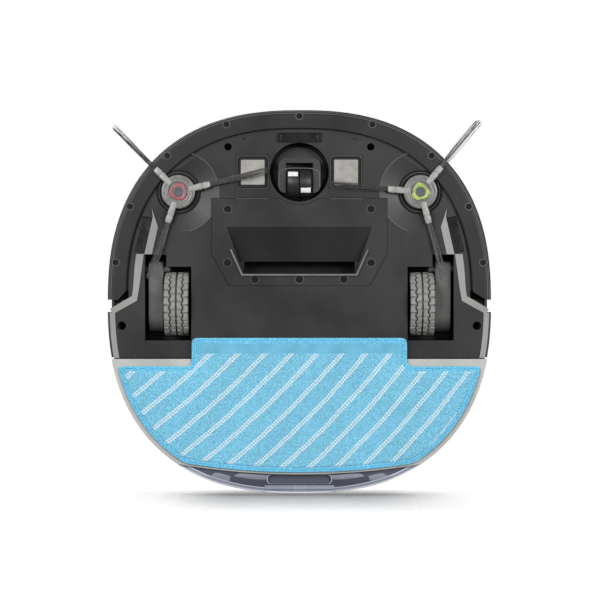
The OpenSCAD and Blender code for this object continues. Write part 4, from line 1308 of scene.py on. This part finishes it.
class ROBOT_OT_cloth(bpy.types.Operator):
    """Make the mop cloth: looped cloth, sewn hem and satin band"""

    bl_idname = "robot.cloth"
    bl_label = "Mop cloth"

    def edge(self, low, high):
        """Boundary of the cloth as one closed line: tab, shoulders, outline and the rear arc.

        The outline at the inset is held in front of the arc y = high - R + sqrt(R^2 - x^2).
        """
        inset, tab_x, shoulder = 4.3 * MM, 86.4 * MM, 51.9 * MM
        x, y = outline_at(np.linspace(-math.pi, math.pi, 7200), inset)
        y = np.minimum(y, high[1] - REAR_ARC + np.sqrt(np.maximum(REAR_ARC**2 - x**2, 0)))
        keep = y > shoulder
        x, y = x[keep], y[keep]
        tab = [[-tab_x, shoulder], [-tab_x, low[1]], [tab_x, low[1]], [tab_x, shoulder]]
        return np.concatenate([[[x[0], shoulder]], np.stack([x, y], -1), [[x[-1], shoulder]], tab])

    def smoothed(self, line, count, radius):
        """The closed line with even spacing and its corners rounded by a moving average of that reach."""
        loop = np.concatenate([line, line[:1]])
        length = np.concatenate([[0], np.cumsum(np.hypot(*np.diff(loop, axis=0).T))])
        at = np.linspace(0, length[-1], count, endpoint=False)
        even = np.stack([np.interp(at, length, loop[:, 0]), np.interp(at, length, loop[:, 1])], -1)
        reach = max(1, int(round(radius / (length[-1] / count))))
        kernel = np.hanning(2 * reach + 3)[1:-1]
        kernel /= kernel.sum()
        wrapped = np.concatenate([even[-reach:], even, even[:reach]])
        return np.stack([np.convolve(wrapped[:, k], kernel, "valid") for k in (0, 1)], -1)

    def execute(self, context):
        low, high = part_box("mop_cloth")
        count = 900
        # the line starts in the middle of a side, away from its corners
        line = np.roll(self.smoothed(self.edge(low, high), count, 7 * MM), count // 4, 0)
        ahead = np.roll(line, -1, 0)
        step = ahead - np.roll(line, 1, 0)
        step /= np.hypot(*step.T)[:, None]
        inward = np.stack([-step[:, 1], step[:, 0]], -1)
        area = 0.5 * float((line[:, 0] * ahead[:, 1] - line[:, 1] * ahead[:, 0]).sum())
        if area < 0:
            inward = -inward
        points, faces, index = self.body(line, inward)
        cloth = context.scene.robot_cloth
        blue = looped_cloth("looped_cloth", tuple(cloth.blue), cloth.stripe).material
        hem = looped_cloth("hem_cloth", tuple(cloth.hem)).material
        piece = put_mesh("mop_cloth_finish", points, faces, "tank", [blue, hem], "mop_cloth", 60, index)
        self.band()
        self.stitches(line, inward)
        return done("mop cloth made", self)

    def body(self, line, inward):
        """Rings from the upper face round the hem to the lower face, each the line moved in by its inset.

        The hem ruffles by a sine of 160 waves, and both faces close on a hub that every part of the edge
        can be seen from: a closing ring is hub + share (ring - hub).
        """
        count = len(line)
        hub = np.array([0.0, 80 * MM])
        wave = 0.12 * np.sin(np.linspace(0, 2 * math.pi * 160, count, endpoint=False))
        profile = [
            (4.6, 2.85), (1.0, 2.8), (0.35, 2.5), (0.0, 2.0), (0.05, 1.35), (0.45, 0.95), (1.1, 0.78),
            (1.75, 0.78), (2.0, 1.0), (2.25, 0.8), (3.3, 0.72), (3.75, 0.95), (4.1, 0.6), (4.6, 0.22),
            (5.4, 0.05), (6.4, 0.02),
        ]
        rings = []
        for inset, z in profile:
            ruffle = wave * (0.35 if 0.3 < inset < 3.6 else 0.1)
            xy = line + inward * (inset * MM)
            if inset > 2.5:
                # beyond the corner radius the moved line would fold: keep it going one way round
                arm = xy - hub
                turn = np.unwrap(np.arctan2(arm[:, 1], arm[:, 0]))
                way = np.sign(turn[-1] - turn[0])
                turn = np.maximum.accumulate(turn * way) * way
                xy = hub + np.hypot(*arm.T)[:, None] * np.stack([np.cos(turn), np.sin(turn)], -1)
            rings.append(np.c_[xy, z * MM + ruffle * MM * (z < 2)])
        upper, lower = rings[0][:, :2] - hub, rings[-1][:, :2] - hub
        shares = (0.9, 0.7, 0.5, 0.3, 0.12, 0.0)
        for share in shares:
            rings.insert(0, np.c_[hub + upper * share, np.full(count, profile[0][1] * MM)])
            rings.append(np.c_[hub + lower * share, np.full(count, profile[-1][1] * MM)])
        faces = grid_faces(len(rings), count)
        # the hem takes the faces that start at an inset under 3.9 mm, but for the uppermost
        row = np.arange(len(faces)) // count - len(shares)
        inset, height = np.array(profile)[np.clip(row, 0, len(profile) - 1)].T
        index = ((inset < 3.9) & (height < 2.7) & (row >= 0) & (row < len(profile))).astype(int)
        return np.concatenate(rings), faces, index

    def band(self):
        """Smooth satin band across the tab, just proud of the looped cloth."""
        x = np.linspace(-82.2, 82.2, 160) * MM
        section = np.array([[33.4, 0.6], [33.6, 0.0], [41.6, 0.0], [41.9, 0.6]]) * MM
        grid = np.stack([np.stack([x, np.full_like(x, y), np.full_like(x, z)], -1) for y, z in section], 1)
        satin = woven_band("satin_band", (0.14, 0.46, 0.66), 0.6 * MM, "x", 0.6).material
        return put_mesh("cloth_band", *swept(grid), "tank", satin, (), 40)

    def stitches(self, line, inward):
        """Short raised stitches every 2.6 mm along the hem's middle: tapered tubes of 0.22 mm radius."""
        loop = line + inward * 2.0 * MM
        loop = np.concatenate([loop, loop[:1]])
        length = np.concatenate([[0], np.cumsum(np.hypot(*np.diff(loop, axis=0).T))])
        count = int(length[-1] / (2.6 * MM))
        u, v = rounded_section(6, 2)
        r = np.array([0.05, 0.22, 0.22, 0.05])[:, None] * MM
        parts = []
        for at in (np.arange(count) + 0.5) * length[-1] / count:
            ends = at + np.array([-0.8, -0.5, 0.5, 0.8]) * MM
            x, y = (np.interp(ends, length, loop[:, k]) for k in (0, 1))
            along = np.array([x[-1] - x[0], y[-1] - y[0]])
            along /= np.hypot(*along)
            grid = [x[:, None] - along[1] * u * r, y[:, None] + along[0] * u * r, 0.82 * MM + v * r]
            parts.append(swept(np.stack(grid, -1)))
        thread = woven_band("stitch_thread", (0.06, 0.36, 0.66)).material
        return put_mesh("hem_stitches", *joined(parts), "tank", thread, (), 60)


class ROBOT_OT_stage(bpy.types.Operator):
    """Set up the pale floor, the soft lights and the camera below the machine"""

    bl_idname = "robot.stage"
    bl_label = "Floor, lights and camera"

    def execute(self, context):
        setting = context.scene.robot_stage
        self.air(context, setting)
        self.floors()
        self.lights()
        self.camera(context, setting)
        context.scene.view_settings.view_transform = "Standard"
        return done("stage made", self)

    def air(self, context, setting):
        """Even light all round, with plain white behind everything."""
        world = bpy.data.worlds.new("studio")
        context.scene.world = world
        world.use_nodes = True
        tree = world.node_tree
        back = tree.nodes["Background"]
        back.inputs["Color"].default_value = (1, 1, 1, 1)
        back.inputs["Strength"].default_value = setting.air
        seen = tree.nodes.new("ShaderNodeBackground")
        seen.inputs["Color"].default_value = (1, 1, 1, 1)
        seen.inputs["Strength"].default_value = 1.0
        path, mix = tree.nodes.new("ShaderNodeLightPath"), tree.nodes.new("ShaderNodeMixShader")
        tree.links.new(path.outputs["Is Camera Ray"], mix.inputs[0])
        tree.links.new(back.outputs[0], mix.inputs[1])
        tree.links.new(seen.outputs[0], mix.inputs[2])
        tree.links.new(mix.outputs[0], tree.nodes["World Output"].inputs[0])

    def sheet(self, name, corners, colour, fades=False, glow=0.0):
        """A one-sided sheet: its back lets everything through, and it can fade out away from the tail."""
        mesh = bpy.data.meshes.new(name)
        mesh.from_pydata(corners, [], [[0, 1, 2, 3]])
        piece = bpy.data.objects.new(name, mesh)
        bpy.context.scene.collection.objects.link(piece)
        f = Finish(name, Emission_Color=(1, 1, 1), Emission_Strength=glow)
        f.colour(colour)
        f.rough(0.8)
        side = f.add("ShaderNodeNewGeometry").outputs["Backfacing"]
        if fades:
            x, z = f.axis("x").distance_from(0), f.axis("z")
            shown = x.ramp(0.05, 0.145, 1, 0) * z.ramp(-0.01, 0.07, 1, 0) * z.ramp(-0.2, -0.08)
            side = 1 - shown * (1 - Amount(f, side))
        clear = f.add("ShaderNodeBsdfTransparent").outputs[0]
        both = f.add("ShaderNodeMixShader", None, {0: side, 1: f.shader.outputs[0], 2: clear})
        f.put(f.tree.nodes["Material Output"], "Surface", both.outputs[0])
        mesh.materials.append(f.material)
        for flag in ("visible_shadow", "visible_diffuse", "visible_glossy", "visible_transmission"):
            setattr(piece, flag, False)
        return piece

    def floors(self):
        """The ground, and an upright sheet behind the tail that takes its soft shadow."""
        z = -0.2 * MM
        self.sheet("floor", [(-4, -4, z), (4, -4, z), (4, 4, z), (-4, 4, z)], (0.86, 0.86, 0.86), glow=0.18)
        y = CAD_HIGH.y + 0.4 * MM
        corners = [(-0.3, y, -0.4), (-0.3, y, 0.08), (0.3, y, 0.08), (0.3, y, -0.4)][::-1]
        self.tail = self.sheet("tail_floor", corners, (0.15, 0.15, 0.15), fades=True)

    def lights(self):
        """Name, place, aim, size and power of each light."""
        for name, place, aim, size, power in (
            ("below_left", (-1.0, -0.6, -1.4), (0, 0, 0), 0.9, 18.5),
            ("below_right", (1.0, -0.4, -1.4), (0, 0, 0), 0.9, 15),
            ("dish_left", (-0.62, -0.3, -1.6), (-0.08, -0.08, 0), 0.26, 3.6),
            ("dish_right", (0.62, -0.3, -1.6), (0.08, -0.08, 0), 0.26, 3.2),
            ("tail_bank", (0, -2.0, 0.6), (0, 0.155, -0.1), 1.8, 430),
            ("above", (-0.6, -0.9, 1.8), (0, 0, 0), 1.6, 34),
            ("above_rear", (1.1, 1.2, 1.4), (0, 0, 0), 1.4, 20),
        ):
            data = bpy.data.lights.new(name, "AREA")
            data.shape, data.size, data.energy = "DISK", size, power
            lamp = bpy.data.objects.new(name, data)
            bpy.context.scene.collection.objects.link(lamp)
            lamp.location = place
            way = np.array(aim) - np.array(place)
            lamp.rotation_mode = "QUATERNION"
            lamp.rotation_quaternion = Vector(way).to_track_quat("-Z", "Y")
            if name == "tail_bank":
                # a tall narrow bank that lights the floor under the tail only
                data.shape, data.size, data.size_y = "RECTANGLE", 0.4, size
                only = bpy.data.collections.new("tail_bank_receivers")
                only.objects.link(self.tail)
                lamp.light_linking.receiver_collection = only

    def camera(self, context, setting):
        """Below the floor, looking straight up, with the front of the machine uppermost."""
        underside = 10 * MM
        data = bpy.data.cameras.new("camera")
        data.sensor_width = 36
        data.lens = data.sensor_width * (setting.distance + underside) / setting.field
        data.clip_start, data.clip_end = 0.05, 50
        camera = bpy.data.objects.new("camera", data)
        context.scene.collection.objects.link(camera)
        camera.location = (0.0005, -0.0012, -setting.distance)
        camera.rotation_euler = (math.pi, 0, 0)
        context.scene.camera = camera


class ROBOT_PT_panel(bpy.types.Panel):
    """Sizes, colours and the pieces that they make"""

    bl_idname = "ROBOT_PT_panel"
    bl_label = "Floor robot"
    bl_space_type = "VIEW_3D"
    bl_region_type = "UI"
    bl_category = "Floor robot"

    def draw(self, context):
        for key, kind in SETTINGS.items():
            box = self.layout.box()
            for name in kind.__annotations__:
                box.prop(getattr(context.scene, key), name)
        for kind in PIECES:
            self.layout.operator(kind.bl_idname)


PIECES = (
    ROBOT_OT_stage,
    ROBOT_OT_carried,
    ROBOT_OT_rims,
    ROBOT_OT_bumper,
    ROBOT_OT_top,
    ROBOT_OT_tank,
    ROBOT_OT_wheels,
    ROBOT_OT_brushes,
    ROBOT_OT_cloth,
)
CLASSES = (*SETTINGS.values(), *PIECES, ROBOT_PT_panel)


def register():
    for kind in CLASSES:
        bpy.utils.register_class(kind)
    for key, kind in SETTINGS.items():
        setattr(bpy.types.Scene, key, bpy.props.PointerProperty(type=kind))


def unregister():
    for key in SETTINGS:
        delattr(bpy.types.Scene, key)
    for kind in reversed(CLASSES):
        bpy.utils.unregister_class(kind)


def main():
    register()
    for kind in PIECES:
        group, name = kind.bl_idname.split(".")
        result = getattr(getattr(bpy.ops, group), name)()
        if "FINISHED" not in result:
            raise RuntimeError(f"{kind.bl_label} was not made")


if __name__ == "__main__":
    main()
